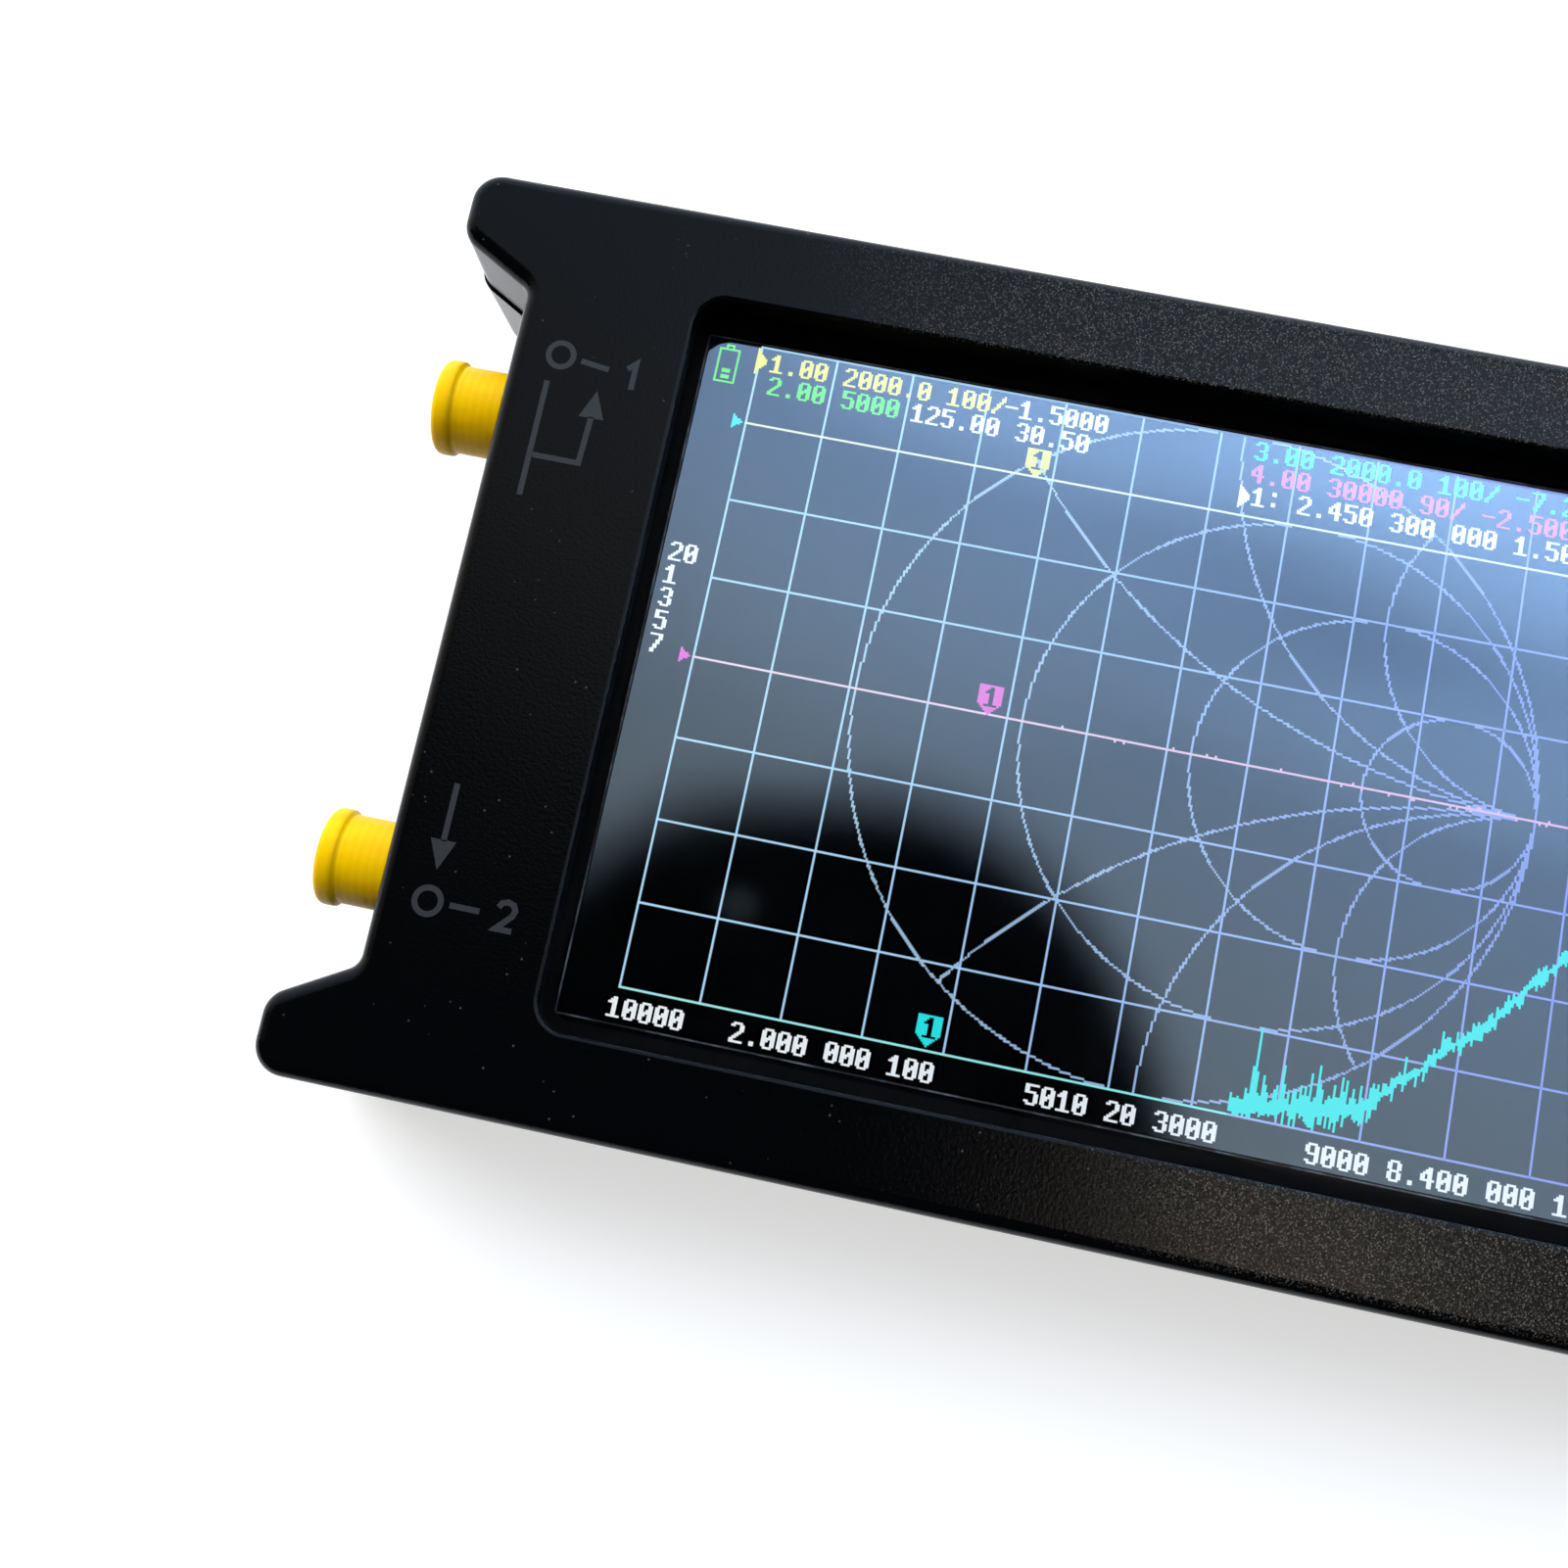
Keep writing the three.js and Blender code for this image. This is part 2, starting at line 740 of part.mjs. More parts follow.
// Port jack: turned barrel with its thread, a square flange behind the wall, and four legs
// that grip the board's edge.
const jackMouth = capX + capEnd + running;

function jackBody(y) {
  const threadEnd = jackMouth + threadPitch * threadTurns + 2 * threadDepth;
  const profile = [
    [boreRadius, jackMouth],
    [threadRadius - threadDepth, jackMouth],
  ];
  for (let turn = 0; turn < threadTurns; turn++) {
    const crest = jackMouth + threadDepth + turn * threadPitch + threadPitch / 2;
    profile.push([threadRadius, crest]);
    profile.push([threadRadius - threadDepth, crest + threadPitch / 2]);
  }
  profile.push(
    [barrelRadius, threadEnd],
    [barrelRadius, flangeX + flangeThick / 2],
    [dielectricRadius + seat, flangeX + flangeThick / 2],
    [dielectricRadius + seat, jackMouth + mouthDepth],
    [boreRadius, jackMouth + mouthDepth],
    [boreRadius, jackMouth],
  );
  const barrel = turned(profile, [y, seamHeight]);
  const flange = carve(
    block([flangeX, flangeBack], about(y, flangeSize), about(seamHeight, flangeSize)),
    rod(dielectricRadius + seat, [flangeX - cut, flangeBack + cut], [y, seamHeight]),
  );
  const legY = flangeSize / 2 - legWidth / 2;
  const legX = [flangeBack - seat, flangeBack + legLength];
  const legs = [1, -1].flatMap((side) => [
    block(legX, about(y + side * legY, legWidth), [partsTop, partsTop + legThick]),
    block(legX, about(y + side * legY, legWidth), [partsUnder - legThick, partsUnder]),
  ]);
  return join(barrel, flange, ...legs);
}

function jackInsulator(y) {
  const front = jackMouth + mouthDepth;
  const inside = contactRadius + seat;
  return turned(
    [
      [inside, front],
      [dielectricRadius, front],
      [dielectricRadius, flangeBack],
      [inside, flangeBack],
      [inside, front],
    ],
    [y, seamHeight],
  );
}

function jackContact(y) {
  const front = jackMouth + mouthDepth / 2;
  return turned(
    [
      [0, front + socketDepth],
      [socketRadius, front + socketDepth],
      [socketRadius, front],
      [contactRadius, front],
      [contactRadius, flangeBack],
      [tailRadius, flangeBack + seat],
      [tailRadius, flangeBack + legLength],
      [0, flangeBack + legLength],
    ],
    [y, seamHeight],
    smallSides,
  );
}

function dustCap(y) {
  return turned(
    [
      [0, capX],
      [capRim - capEdge, capX],
      [capRim, capX + capEdge],
      [capRim, capX + capRimWidth - capEdge],
      [capBarrel, capX + capRimWidth],
      [capBarrel, capX + capLength],
      [capBore, capX + capLength],
      [capBore, capX + capEnd],
      [0, capX + capEnd],
    ],
    [y, seamHeight],
    capSides,
  );
}

// Battery: a soft pouch cell with round edges, on a foam pad, with two leads to its plug.
function batteryCell() {
  const top = cellBottom + cellThick;
  const corners = rectangle(cellLength, cellWidth, 2 * cellRound, [cellCentre, 0]);
  return loft(corners, [
    ...edgeLevels(cellBottom + cellRound, -1, cellRound, 0).reverse(),
    [cellBottom + cellRound, 0],
    [top - cellRound, 0],
    ...edgeLevels(top - cellRound, 1, cellRound, 0),
  ]);
}

function batteryPad() {
  const bottom = floorWall + seat;
  const length = cellLength - 2 * padInset;
  const width = cellWidth - 2 * padInset;
  return loft(rectangle(length, width, 2 * cellRound, [cellCentre, 0]), [
    [bottom, 0],
    [bottom + padThick, 0],
  ]);
}

const leadY = plugWidth / 4;

function batteryPlug() {
  return block([plugX, plugX + plugLength], about(0, plugWidth), [
    partsUnder - plugHeight,
    partsUnder,
  ]);
}

function batteryLead(y) {
  const cellMid = cellBottom + cellThick / 2;
  const plugMid = partsUnder - plugHeight / 2;
  const start = cellEnd + seat;
  const end = plugX - seat;
  const route = new THREE.CatmullRomCurve3([
    new THREE.Vector3(start, y, cellMid),
    new THREE.Vector3(start + (end - start) / 3, y, cellMid),
    new THREE.Vector3(end - (end - start) / 3, y, plugMid),
    new THREE.Vector3(end, y, plugMid),
  ]);
  const section = new THREE.Shape();
  section.absarc(0, 0, leadRadius, 0, 2 * Math.PI);
  const geometry = new THREE.ExtrudeGeometry(section, {
    curveSegments: leadSides,
    steps: 2 * cornerSteps,
    extrudePath: route,
  });
  return solid(geometry);
}

// USB socket: a rolled steel shell, closed at its back, with a contact tongue inside.
const usbMouth = rightX - usbSink;
const usbBack = usbMouth - usbDepth;

function usbShell() {
  const outer = outline(rectangle(usbHeight, usbWidth, usbRound));
  const inner = outline(rectangle(usbHeight, usbWidth, usbRound), usbWall);
  return carve(
    alongX(outer, [usbBack, usbMouth], [usbPlace, usbMid]),
    alongX(inner, [usbBack + usbWall, usbMouth + cut], [usbPlace, usbMid]),
  );
}

function usbTongue() {
  const back = usbBack + usbWall + seat;
  const inside = [usbWidth - 2 * usbRound, usbHeight - 2 * usbWall - 2 * seat];
  return join(
    block([back, back + usbRound], about(usbPlace, inside[0]), about(usbMid, inside[1])),
    block([back, back + usbRound + tongueLength], about(usbPlace, tongueWidth),
      about(usbMid, tongueThick)),
  );
}

function cardSocket() {
  const x = [boardRight - cardSocketDepth, boardRight];
  const z = [partsUnder - cardSocketThick, partsUnder];
  return carve(
    block(x, about(cardPlace, cardSocketWidth), z),
    block([x[0] + cardWall, x[1] + cut], about(cardPlace, cardSlotWidth),
      about(cardMid, cardSocketThick - 2 * cardWall)),
  );
}

// Power switch: a body on the board, and a knob whose stem slides in the body's groove.
const powerFront = boardRight - seat;

function powerBody() {
  return carve(
    block([powerFront - powerBodyDepth, powerFront], about(powerPlace, powerBodyWidth), [
      partsTop,
      partsTop + powerBodyHeight,
    ]),
    block(
      [powerFront - powerStemDepth - running, powerFront + cut],
      about(powerPlace, powerStemWidth + powerTravel + 2 * running),
      about(socketMid, powerStemHeight + 2 * running),
    ),
  );
}

function powerKnob() {
  return join(
    block([powerFront - powerStemDepth, powerFront + 2 * running],
      about(powerY, powerStemWidth), about(socketMid, powerStemHeight)),
    block([powerFront + running, knobEndX], about(powerY, powerKnobWidth),
      about(socketMid, powerKnobHeight)),
  );
}

// Jog switch: a body on the board's tab, a block that is pressed into it, and a lever that
// tilts on the block's pin.
const jogBlockFront = jogPivotY + jogPin + jogPinGap;
const jogBlockBack = jogBlockFront - jogBlockDepth;
const jogPocketBack = jogBlockBack - jogTravel - running;

function jogBody() {
  return carve(
    block(about(tabCentre, jogBodyWidth), [jogPocketBack - jogBackWall, tabTop], [
      partsTop,
      partsTop + jogBodyHeight,
    ]),
    block(
      about(tabCentre, jogBlockWidth + 2 * running),
      [jogPocketBack, tabTop + cut],
      about(socketMid, jogBlockHeight + 2 * running),
    ),
  );
}

function jogBlock() {
  const slot = [jogPivotY - jogHub - running, jogBlockFront + cut];
  return join(
    carve(
      block(about(tabCentre, jogBlockWidth), [jogBlockBack, jogBlockFront],
        about(socketMid, jogBlockHeight)),
      block(about(tabCentre, jogBlockWidth + cut), slot,
        about(socketMid, jogHubThick + 2 * seat)),
    ),
    post(jogPin, [tabCentre, jogPivotY], about(socketMid, jogBlockHeight), smallSides),
  );
}

function jogLever() {
  return carve(
    join(
      post(jogHub, [tabCentre, jogPivotY], about(socketMid, jogHubThick)),
      block(about(tabCentre, jogArmWidth), [jogPivotY, knobTopY - jogPadDepth / 2],
        about(socketMid, jogHubThick)),
      block(about(tabCentre, jogPadWidth), [knobTopY - jogPadDepth, knobTopY],
        about(socketMid, jogPadHeight)),
    ),
    post(jogPin + jogPinGap, [tabCentre, jogPivotY], about(socketMid, jogHubThick + cut)),
  );
}

// Chips on the board's upper side. Places and sizes are shares of the board's length and
// height, measured from the board's middle.
const chipNames = ["controller_chip", "memory_chip", "clock_can", "charger_chip", "mixer_chip"];
const chipMaterials = [chipBlack, chipBlack, steel, chipBlack, chipBlack];
const chipShares = [
  [-0.04, 0.08, 0.09, 0.19],
  [0.11, -0.17, 0.07, 0.1],
  [-0.1, -0.24, 0.045, 0.06],
  [0.3, 0.16, 0.035, 0.075],
  [0.02, 0.32, 0.05, 0.1],
];

function chip([xShare, yShare, lengthShare, widthShare]) {
  const boardLength = boardRight - boardLeft;
  const middleX = (boardLeft + boardRight) / 2;
  return block(
    about(middleX + xShare * boardLength, lengthShare * boardLength),
    about(yShare * boardHeight, widthShare * boardHeight),
    [partsTop, partsTop + chipThick],
  );
}

// The whole part, from the back to the face
place("rear_shell", rearShell(), caseBlack);
place("battery_pad", batteryPad(), foamBlack);
place("battery_cell", batteryCell(), cellSilver);
place("battery_lead_red", batteryLead(leadY), leadRed);
place("battery_lead_black", batteryLead(-leadY), leadBlack);
place("battery_plug", batteryPlug(), insulatorWhite);
place("main_board", mainBoard(), boardGreen);
chipNames.forEach((name, i) => place(name, chip(chipShares[i]), chipMaterials[i]));

const canX = boardLeft + legLength + 2 * boardPost;
[1, -1].forEach((side, i) => {
  const y = side * portY;
  const number = i + 1;
  place("sma_jack_" + number, jackBody(y), gold);
  place("sma_insulator_" + number, jackInsulator(y), insulatorWhite);
  place("sma_contact_" + number, jackContact(y), gold);
  place("dust_cap_" + number, dustCap(y), capYellow);
  place("port_shield_" + number, shieldCan([canX, canX + canLength], about(y, canWidth)), steel);
});
place("middle_shield", shieldCan([canX, canX + middleCanLength], about(0, canWidth)), steel);

place("usb_shell", usbShell(), steel);
place("usb_tongue", usbTongue(), switchBlack);
place("card_socket", cardSocket(), steel);
place("power_switch_body", powerBody(), steel);
place("power_switch_knob", powerKnob(), switchBlack);
place("jog_switch_body", jogBody(), switchBlack);
place("jog_block", jogBlock(), switchBlack);
place("jog_lever", jogLever(), switchBlack);
place("ribbon_socket", ribbonSocket(), insulatorWhite);
place("display_ribbon", displayRibbon(), ribbonAmber);

place("light_tray", lightTray(), steel);
place("display_panel", flatPlate(panelLength, panelHeight, trayRim, [panelBottom, panelTop]),
  displayGrey);
place("touch_panel", flatPlate(touchLength, touchHeight, trayRim, [touchBottom, touchTop]),
  glassGrey);
place("display_gasket", displayGasket(), foamBlack);
place("front_shell", frontShell(), caseBlack);

boardScrews.forEach((spot, i) => {
  const sizes = [[boardScrewRadius, boardScrewLength], [boardHeadRadius, boardHeadThick]];
  place("board_screw_" + (i + 1), screw(spot, partsTop, 1, ...sizes), steel);
});
caseScrews.forEach((spot, i) => {
  const sizes = [[caseScrewRadius, caseScrewLength], [caseHeadRadius, caseHeadThick]];
  const headZ = headSink + caseHeadThick;
  place("case_screw_" + (i + 1), screw(spot, headZ, -1, ...sizes), steel);
});

export default assembly;
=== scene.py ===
import math
import random

import bmesh
import bpy
from mathutils import Matrix, Vector


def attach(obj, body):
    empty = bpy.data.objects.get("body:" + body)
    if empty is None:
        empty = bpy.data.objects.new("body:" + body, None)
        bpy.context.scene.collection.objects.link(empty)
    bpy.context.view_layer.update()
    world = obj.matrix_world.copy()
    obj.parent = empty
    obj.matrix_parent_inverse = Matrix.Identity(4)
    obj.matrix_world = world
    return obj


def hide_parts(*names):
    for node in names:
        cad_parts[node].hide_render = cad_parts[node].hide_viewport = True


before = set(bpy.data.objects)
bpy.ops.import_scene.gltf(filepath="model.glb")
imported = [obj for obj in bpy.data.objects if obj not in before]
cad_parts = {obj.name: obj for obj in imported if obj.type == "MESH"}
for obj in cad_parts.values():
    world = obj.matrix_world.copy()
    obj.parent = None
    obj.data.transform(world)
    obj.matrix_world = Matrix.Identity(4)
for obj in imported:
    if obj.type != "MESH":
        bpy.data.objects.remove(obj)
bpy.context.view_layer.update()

# Camera. It looks down at the display from the left and in front, close enough that the far
# end of the case leaves the picture, as a hand-held close-up does.
photo_side = 1601
focal_in_dots = 1716.38
sensor_width_mm = 36
camera_place = (-0.020151, -0.02857, 0.144467)
camera_right = Vector((0.97845, 0.2043, -0.03001))
camera_up = Vector((-0.19622, 0.96517, 0.17302))
nearest_seen = 0.01

scene = bpy.context.scene
camera_data = bpy.data.cameras.new("camera")
camera_data.sensor_width = sensor_width_mm
camera_data.lens = sensor_width_mm * focal_in_dots / photo_side
camera_data.clip_start = nearest_seen
camera = bpy.data.objects.new("camera", camera_data)
scene.collection.objects.link(camera)
camera_back = camera_right.cross(camera_up).normalized()
turn = Matrix((camera_right, camera_up, camera_back)).transposed()
camera.matrix_world = Matrix.Translation(camera_place) @ turn.to_4x4()
scene.camera = camera
scene.view_settings.view_transform = "Standard"


# Studio. A bright wall and ceiling lie behind the instrument, and large dark shapes in front
# of it and to its left. The display's glass and the black case show both.
def node(tree, kind, inputs=(), **settings):
    """Adds a node with these inputs and settings, and returns its outputs."""
    made = tree.nodes.new(kind)
    for name, value in settings.items():
        setattr(made, name, value)
    for name, value in dict(inputs).items():
        if isinstance(value, bpy.types.NodeSocket):
            tree.links.new(value, made.inputs[name])
        else:
            made.inputs[name].default_value = value
    return made.outputs


def maths(operation, first, second=0.0):
    return node(first.id_data, "ShaderNodeMath", {0: first, 1: second}, operation=operation)[0]


def times(first, second):
    return maths("MULTIPLY", first, second)


def plus(first, second):
    return maths("ADD", first, second)


def soft_step(value, start, end):
    span = {"Value": value, "From Min": start, "From Max": end}
    return node(value.id_data, "ShaderNodeMapRange", span, interpolation_type="SMOOTHSTEP")[0]


def blend(share, *ends):
    """Mixes two colours. Each is three numbers, or a socket that gives the colour."""
    first, last = [end if isinstance(end, bpy.types.NodeSocket) else (*end, 1.0) for end in ends]
    mixed = {"Factor": share, 6: first, 7: last}
    return node(share.id_data, "ShaderNodeMix", mixed, data_type="RGBA")[2]


def parts_of(place):
    return node(place.id_data, "ShaderNodeSeparateXYZ", {0: place})


room_level = 0.06
least_height = 0.02
wall_level, wall_rise, wall_drift = 0.66, 0.87, 0.52
most_reach, least_drift = 1.3, -0.25
wall_start = (-0.13, -0.01)
cool_light, warm_light = (0.84, 1.02, 1.3), (1.04, 0.98, 0.88)
cool_span, cool_drift = (0.05, 0.5), 0.35
# Each shape in the sky has its middle, half its size and the span of its soft edge. The clouds
# share one edge, and each has its level instead.
shade = ((0.01, -0.153), (0.203, 0.3), (0.97, 1.41))
low_shade = ((-0.088, -0.181), (0.142, 0.3), (0.97, 1.51))
side_shade = ((-0.62, -0.1), (0.45, 0.35), (0.7, 1.3))
side_squareness = 4.0
faint_spot, faint_level = ((-0.077, 0.089), (0.012, 0.01), (1.6, 0.2)), 0.1
glint, glint_level = ((0.275, -0.065), (0.12, 0.05), (1.2, 0.3)), 8.5
glint_colour = (1.0, 0.84, 0.66, 1.0)
cloud_edge = (1.5, 0.0)
sky_clouds = [
    ((0.13, 0.48), (0.28, 0.1), 1.0),
    ((0.44, 0.47), (0.28, 0.145), 1.6),
    ((-0.01, 0.36), (0.24, 0.15), 0.33),
    ((0.43, 0.265), (0.28, 0.055), 0.39),
]

world = bpy.data.worlds.new("studio")
scene.world = world
world.use_nodes = True
sky = world.node_tree
sky.nodes.clear()
direction = node(sky, "ShaderNodeTexCoord")["Generated"]
sky_x, sky_y, sky_z = parts_of(direction)
height = maths("MAXIMUM", sky_z, least_height)
across, along = [maths("DIVIDE", value, height) for value in (sky_x, sky_y)]


def sky_mask(middle, half, edge, squareness=2.0):
    shares = [
        maths("DIVIDE", maths("SUBTRACT", value, mid), size)
        for value, mid, size in zip((across, along), middle, half)
    ]
    raised = [maths("POWER", maths("ABSOLUTE", share), squareness) for share in shares]
    return soft_step(plus(*raised), *edge)


def sky_light(colour, strength):
    return node(sky, "ShaderNodeBackground", {"Color": colour, "Strength": strength})[0]


rise = times(maths("MINIMUM", along, most_reach), wall_rise)
drift = times(maths("MINIMUM", across, most_reach), wall_drift)
level = plus(plus(rise, maths("MAXIMUM", drift, least_drift)), wall_level)
for middle, half, cloud_level in sky_clouds:
    level = plus(level, times(sky_mask(middle, half, cloud_edge), cloud_level))
level = times(level, soft_step(along, *wall_start))
level = plus(times(level, sky_mask(*side_shade, side_squareness)), room_level)
both_shades = times(sky_mask(*shade), sky_mask(*low_shade))
faint_light = times(sky_mask(*faint_spot), faint_level)
shown_level = plus(times(level, both_shades), faint_light)
slant = plus(along, times(across, cool_drift))
tone = blend(soft_step(slant, *cool_span), warm_light, cool_light)
room_sky = sky_light(tone, shown_level)
glint_sky = sky_light(glint_colour, times(sky_mask(*glint), glint_level))
lit_sky = node(sky, "ShaderNodeAddShader", {0: room_sky, 1: glint_sky})[0]
seen_directly = node(sky, "ShaderNodeLightPath")["Is Camera Ray"]
white_sky = sky_light((1, 1, 1, 1), 1.0)
chosen = node(sky, "ShaderNodeMixShader", {0: seen_directly, 1: lit_sky, 2: white_sky})
node(sky, "ShaderNodeOutputWorld", {"Surface": chosen[0]})

key_place = Vector((-0.46, 0.3, 0.42))
key_size = (0.45, 0.35)
key_energy, key_colour = 3.6, (1.0, 0.985, 0.96)
key_lamp = bpy.data.lights.new("key_lamp", "AREA")
key_lamp.shape = "RECTANGLE"
key_lamp.size, key_lamp.size_y = key_size
key_lamp.energy, key_lamp.color = key_energy, key_colour
key = bpy.data.objects.new("key_lamp", key_lamp)
key_turn = key_place.to_track_quat("Z", "Y").to_matrix().to_4x4()
key.matrix_world = Matrix.Translation(key_place) @ key_turn
key.visible_glossy = False
key.visible_transmission = False
scene.collection.objects.link(key)

# Table top. A plain white sheet that the instrument lies on, wide enough that its edge is out
# of every view.
table_half, table_glow = 1.5, 0.6
table_colour = (0.62, 0.62, 0.62, 1.0)


def material(name):
    made = bpy.data.materials.new(name)
    made.use_nodes = True
    made.node_tree.nodes.clear()
    return made, made.node_tree


def add_mesh(name, points, faces):
    mesh = bpy.data.meshes.new(name)
    mesh.from_pydata(points, [], faces)
    mesh.update()
    made = bpy.data.objects.new(name, mesh)
    scene.collection.objects.link(made)
    return made


table_white, tree = material("table_white")
path = node(tree, "ShaderNodeLightPath")
seen = maths("MAXIMUM", path["Is Camera Ray"], path["Is Glossy Ray"])
seen = maths("MAXIMUM", seen, path["Is Transmission Ray"])
glow = node(tree, "ShaderNodeEmission", {"Strength": times(seen, table_glow)})
sheet = node(tree, "ShaderNodeBsdfDiffuse", {"Color": table_colour})
both = node(tree, "ShaderNodeAddShader", {0: sheet[0], 1: glow[0]})
node(tree, "ShaderNodeOutputMaterial", {"Surface": both[0]})
square = ((-1, -1), (1, -1), (1, 1), (-1, 1))
table = add_mesh("table", [(x * table_half, y * table_half, 0) for x, y in square], [(0, 1, 2, 3)])
table.data.materials.append(table_white)

# Rear shell. The lower half of the case, moulded in grained black plastic: a tray with round
# lower edges, a thin lip that enters the front shell, and posts for the screws and the board.
mm = 0.001
beyond = 1.0
corner_steps, edge_steps, round_sides = 12, 6, 48
least_radius_share = 0.05
case_right, port_wall, horn_end, case_top = 63.5, -56.85, -63.15, 36.95
horn_tip, horn_root = 5.9, 9.5
case_corner, horn_corner, waist_corner = 2.6, 2.4, 1.3
wall_thick, cut_depth = 2.0, 3.0
port_spots, port_hole = [(19.42, 11.4), (-19.42, 11.4)], 4.0
usb_spot = (12.7, 2.5)
# Each opening has its axis, its wall, its size, the radius of its corners and its middle.
wall_openings = [
    ("X", case_right, (3.8, 9.5), 1.8, usb_spot),
    ("X", case_right, (1.3, 11.8), 0.3, (8.25, -10.5)),
    ("X", case_right, (2.8, 6.0), 0.35, (12.7, 15.1)),
    ("Y", case_top, (7.22, 2.5), 0.35, (51.1, 12.7)),
]
seam_low, seam_high = 11.275, 11.525
seam_edge = 0.05
back_round, rear_inset = 1.8, 0.45
floor_top = 2.0
lip_top, lip_outside = 12.375, 1.2
case_screw_spots = [(x, y) for x in (-51.45, 58.1) for y in (31.55, -31.55)]
board_screw_spots = [(-48.05, 4.8), (-48.05, -4.8), (50.9, 24.4), (50.9, -24.4)]
case_post, case_post_top, board_post, board_post_top = 3.4, 6.3, 2.4, 9.1
case_hole, case_hole_ends = 1.3, (-1, 6.6)
board_hole, board_hole_ends = 1.0, (4.9, 10.9)
sink_radius, sink_depth, sink_edge = 2.2, 2.1, 0.25
upper_corners = [
    (case_right, case_top, case_corner),
    (horn_end, case_top, case_corner),
    (horn_end, case_top - horn_tip, horn_corner),
    (port_wall, case_top - horn_root, waist_corner),
]
lower_corners = [(x, -y, radius) for x, y, radius in reversed(upper_corners)]
case_corners = lower_corners[2:] + upper_corners + lower_corners[:2]


def outline(corners, inset=0.0):
    """The points of a closed outline with round corners, every side moved in by the inset."""
    sides = []
    for (x, y, _), (next_x, next_y, _) in zip(corners, corners[1:] + corners[:1]):
        length = math.hypot(next_x - x, next_y - y)
        ux, uy = (next_x - x) / length, (next_y - y) / length
        sides.append((x - uy * inset, y + ux * inset, ux, uy))
    points = []
    for i, (_, _, corner_size) in enumerate(corners):
        from_x, from_y, ux, uy = sides[i - 1]
        to_x, to_y, vx, vy = sides[i]
        sine = ux * vy - uy * vx
        cosine = ux * vx + uy * vy
        reach = ((to_x - from_x) * vy - (to_y - from_y) * vx) / sine
        hand = math.copysign(1, sine)
        radius = max(corner_size - hand * inset, corner_size * least_radius_share)
        full_turn = math.atan2(sine, cosine)
        start = reach - radius * math.tan(abs(full_turn) / 2)
        middle_x = from_x + ux * start - uy * radius * hand
        middle_y = from_y + uy * start + ux * radius * hand
        for k in range(corner_steps + 1):
            angle = full_turn * k / corner_steps
            out_x = hand * (uy * math.cos(angle) + ux * math.sin(angle))
            out_y = hand * (uy * math.sin(angle) - ux * math.cos(angle))
            points.append((middle_x + radius * out_x, middle_y + radius * out_y))
    return points


def stack(name, rings):
    """A closed solid through level rings of points. Each ring is its height and its points."""
    count = len(rings[0][1])
    points = [(x * mm, y * mm, z * mm) for z, ring in rings for x, y in ring]
    faces = [tuple(reversed(range(count))), tuple(range(len(points) - count, len(points)))]
    for start in range(0, len(points) - count, count):
        for i in range(count):
            j = (i + 1) % count
            faces.append((start + i, start + j, start + j + count, start + i + count))
    return add_mesh(name, points, faces)


def loft(name, corners, levels):
    return stack(name, [(z, outline(corners, inset)) for z, inset in levels])


def prism(ring, ends, name="prism"):
    return stack(name, [(z, ring) for z in ends])


def rectangle(length, width, radius, middle=(0.0, 0.0)):
    (x, y), half_x, half_y = middle, length / 2, width / 2
    return [(x + a * half_x, y + b * half_y, radius) for a, b in square]


def disc(radius, middle, sides=round_sides):
    turns = [2 * math.pi * k / sides for k in range(sides)]
    return [(middle[0] + radius * math.cos(t), middle[1] + radius * math.sin(t)) for t in turns]


def posts(radius, middles, *ends):
    return [prism(disc(radius, middle), ends) for middle in middles]


def round_edge(start, way, size, inset):
    """Heights and insets of a quarter-round edge, from its start to its end."""
    angles = [math.pi / 2 * k / edge_steps for k in range(1, edge_steps + 1)]
    return [(start + way * size * math.sin(a), inset + size * (1 - math.cos(a))) for a in angles]


def lay_along(piece, axis):
    """Turns a solid that stands on the table so that its length runs along X or Y."""
    order = {"X": (2, 1, 0), "Y": (0, 2, 1)}[axis]
    for vertex in piece.data.vertices:
        vertex.co = Vector([vertex.co[k] for k in order])
    piece.data.flip_normals()
    return piece


def wall_cutters():
    """Solids that cut the openings for ports, sockets and switches through the walls."""
    cutters = []
    for spot in port_spots:
        ends = (port_wall - wall_thick, port_wall + cut_depth)
        cutters.append(lay_along(prism(disc(port_hole, spot[::-1]), ends), "X"))
    for axis, wall, size, radius, middle in wall_openings:
        ring = outline(rectangle(*size, radius, middle))
        cutters.append(lay_along(prism(ring, (wall - cut_depth, wall + wall_thick)), axis))
    return cutters


def settle(piece):
    """Turns a piece's modifiers into its plain mesh."""
    bpy.context.view_layer.update()
    shown = piece.evaluated_get(bpy.context.evaluated_depsgraph_get())
    mesh = bpy.data.meshes.new_from_object(shown)
    piece.modifiers.clear()
    piece.data = mesh
    return piece


def combine(piece, others, operation):
    for other in others:
        step = piece.modifiers.new(operation, "BOOLEAN")
        step.operation = operation
        step.solver = "EXACT"
        step.object = other
    settle(piece)
    for other in others:
        bpy.data.objects.remove(other)


def smooth(piece, sharp_angle=30):
    piece.data.shade_smooth()
    piece.data.set_sharp_from_angle(angle=math.radians(sharp_angle))
    even = piece.modifiers.new("even_normals", "WEIGHTED_NORMAL")
    even.keep_sharp = True
    return settle(piece)


def patterned(name):
    """A new, empty material, and the place on the piece that its patterns follow."""
    made, tree = material(name)
    return made, node(tree, "ShaderNodeTexCoord")["Object"]


def stretched(place, scale):
    return node(place.id_data, "ShaderNodeMapping", {"Vector": place, "Scale": scale})[0]


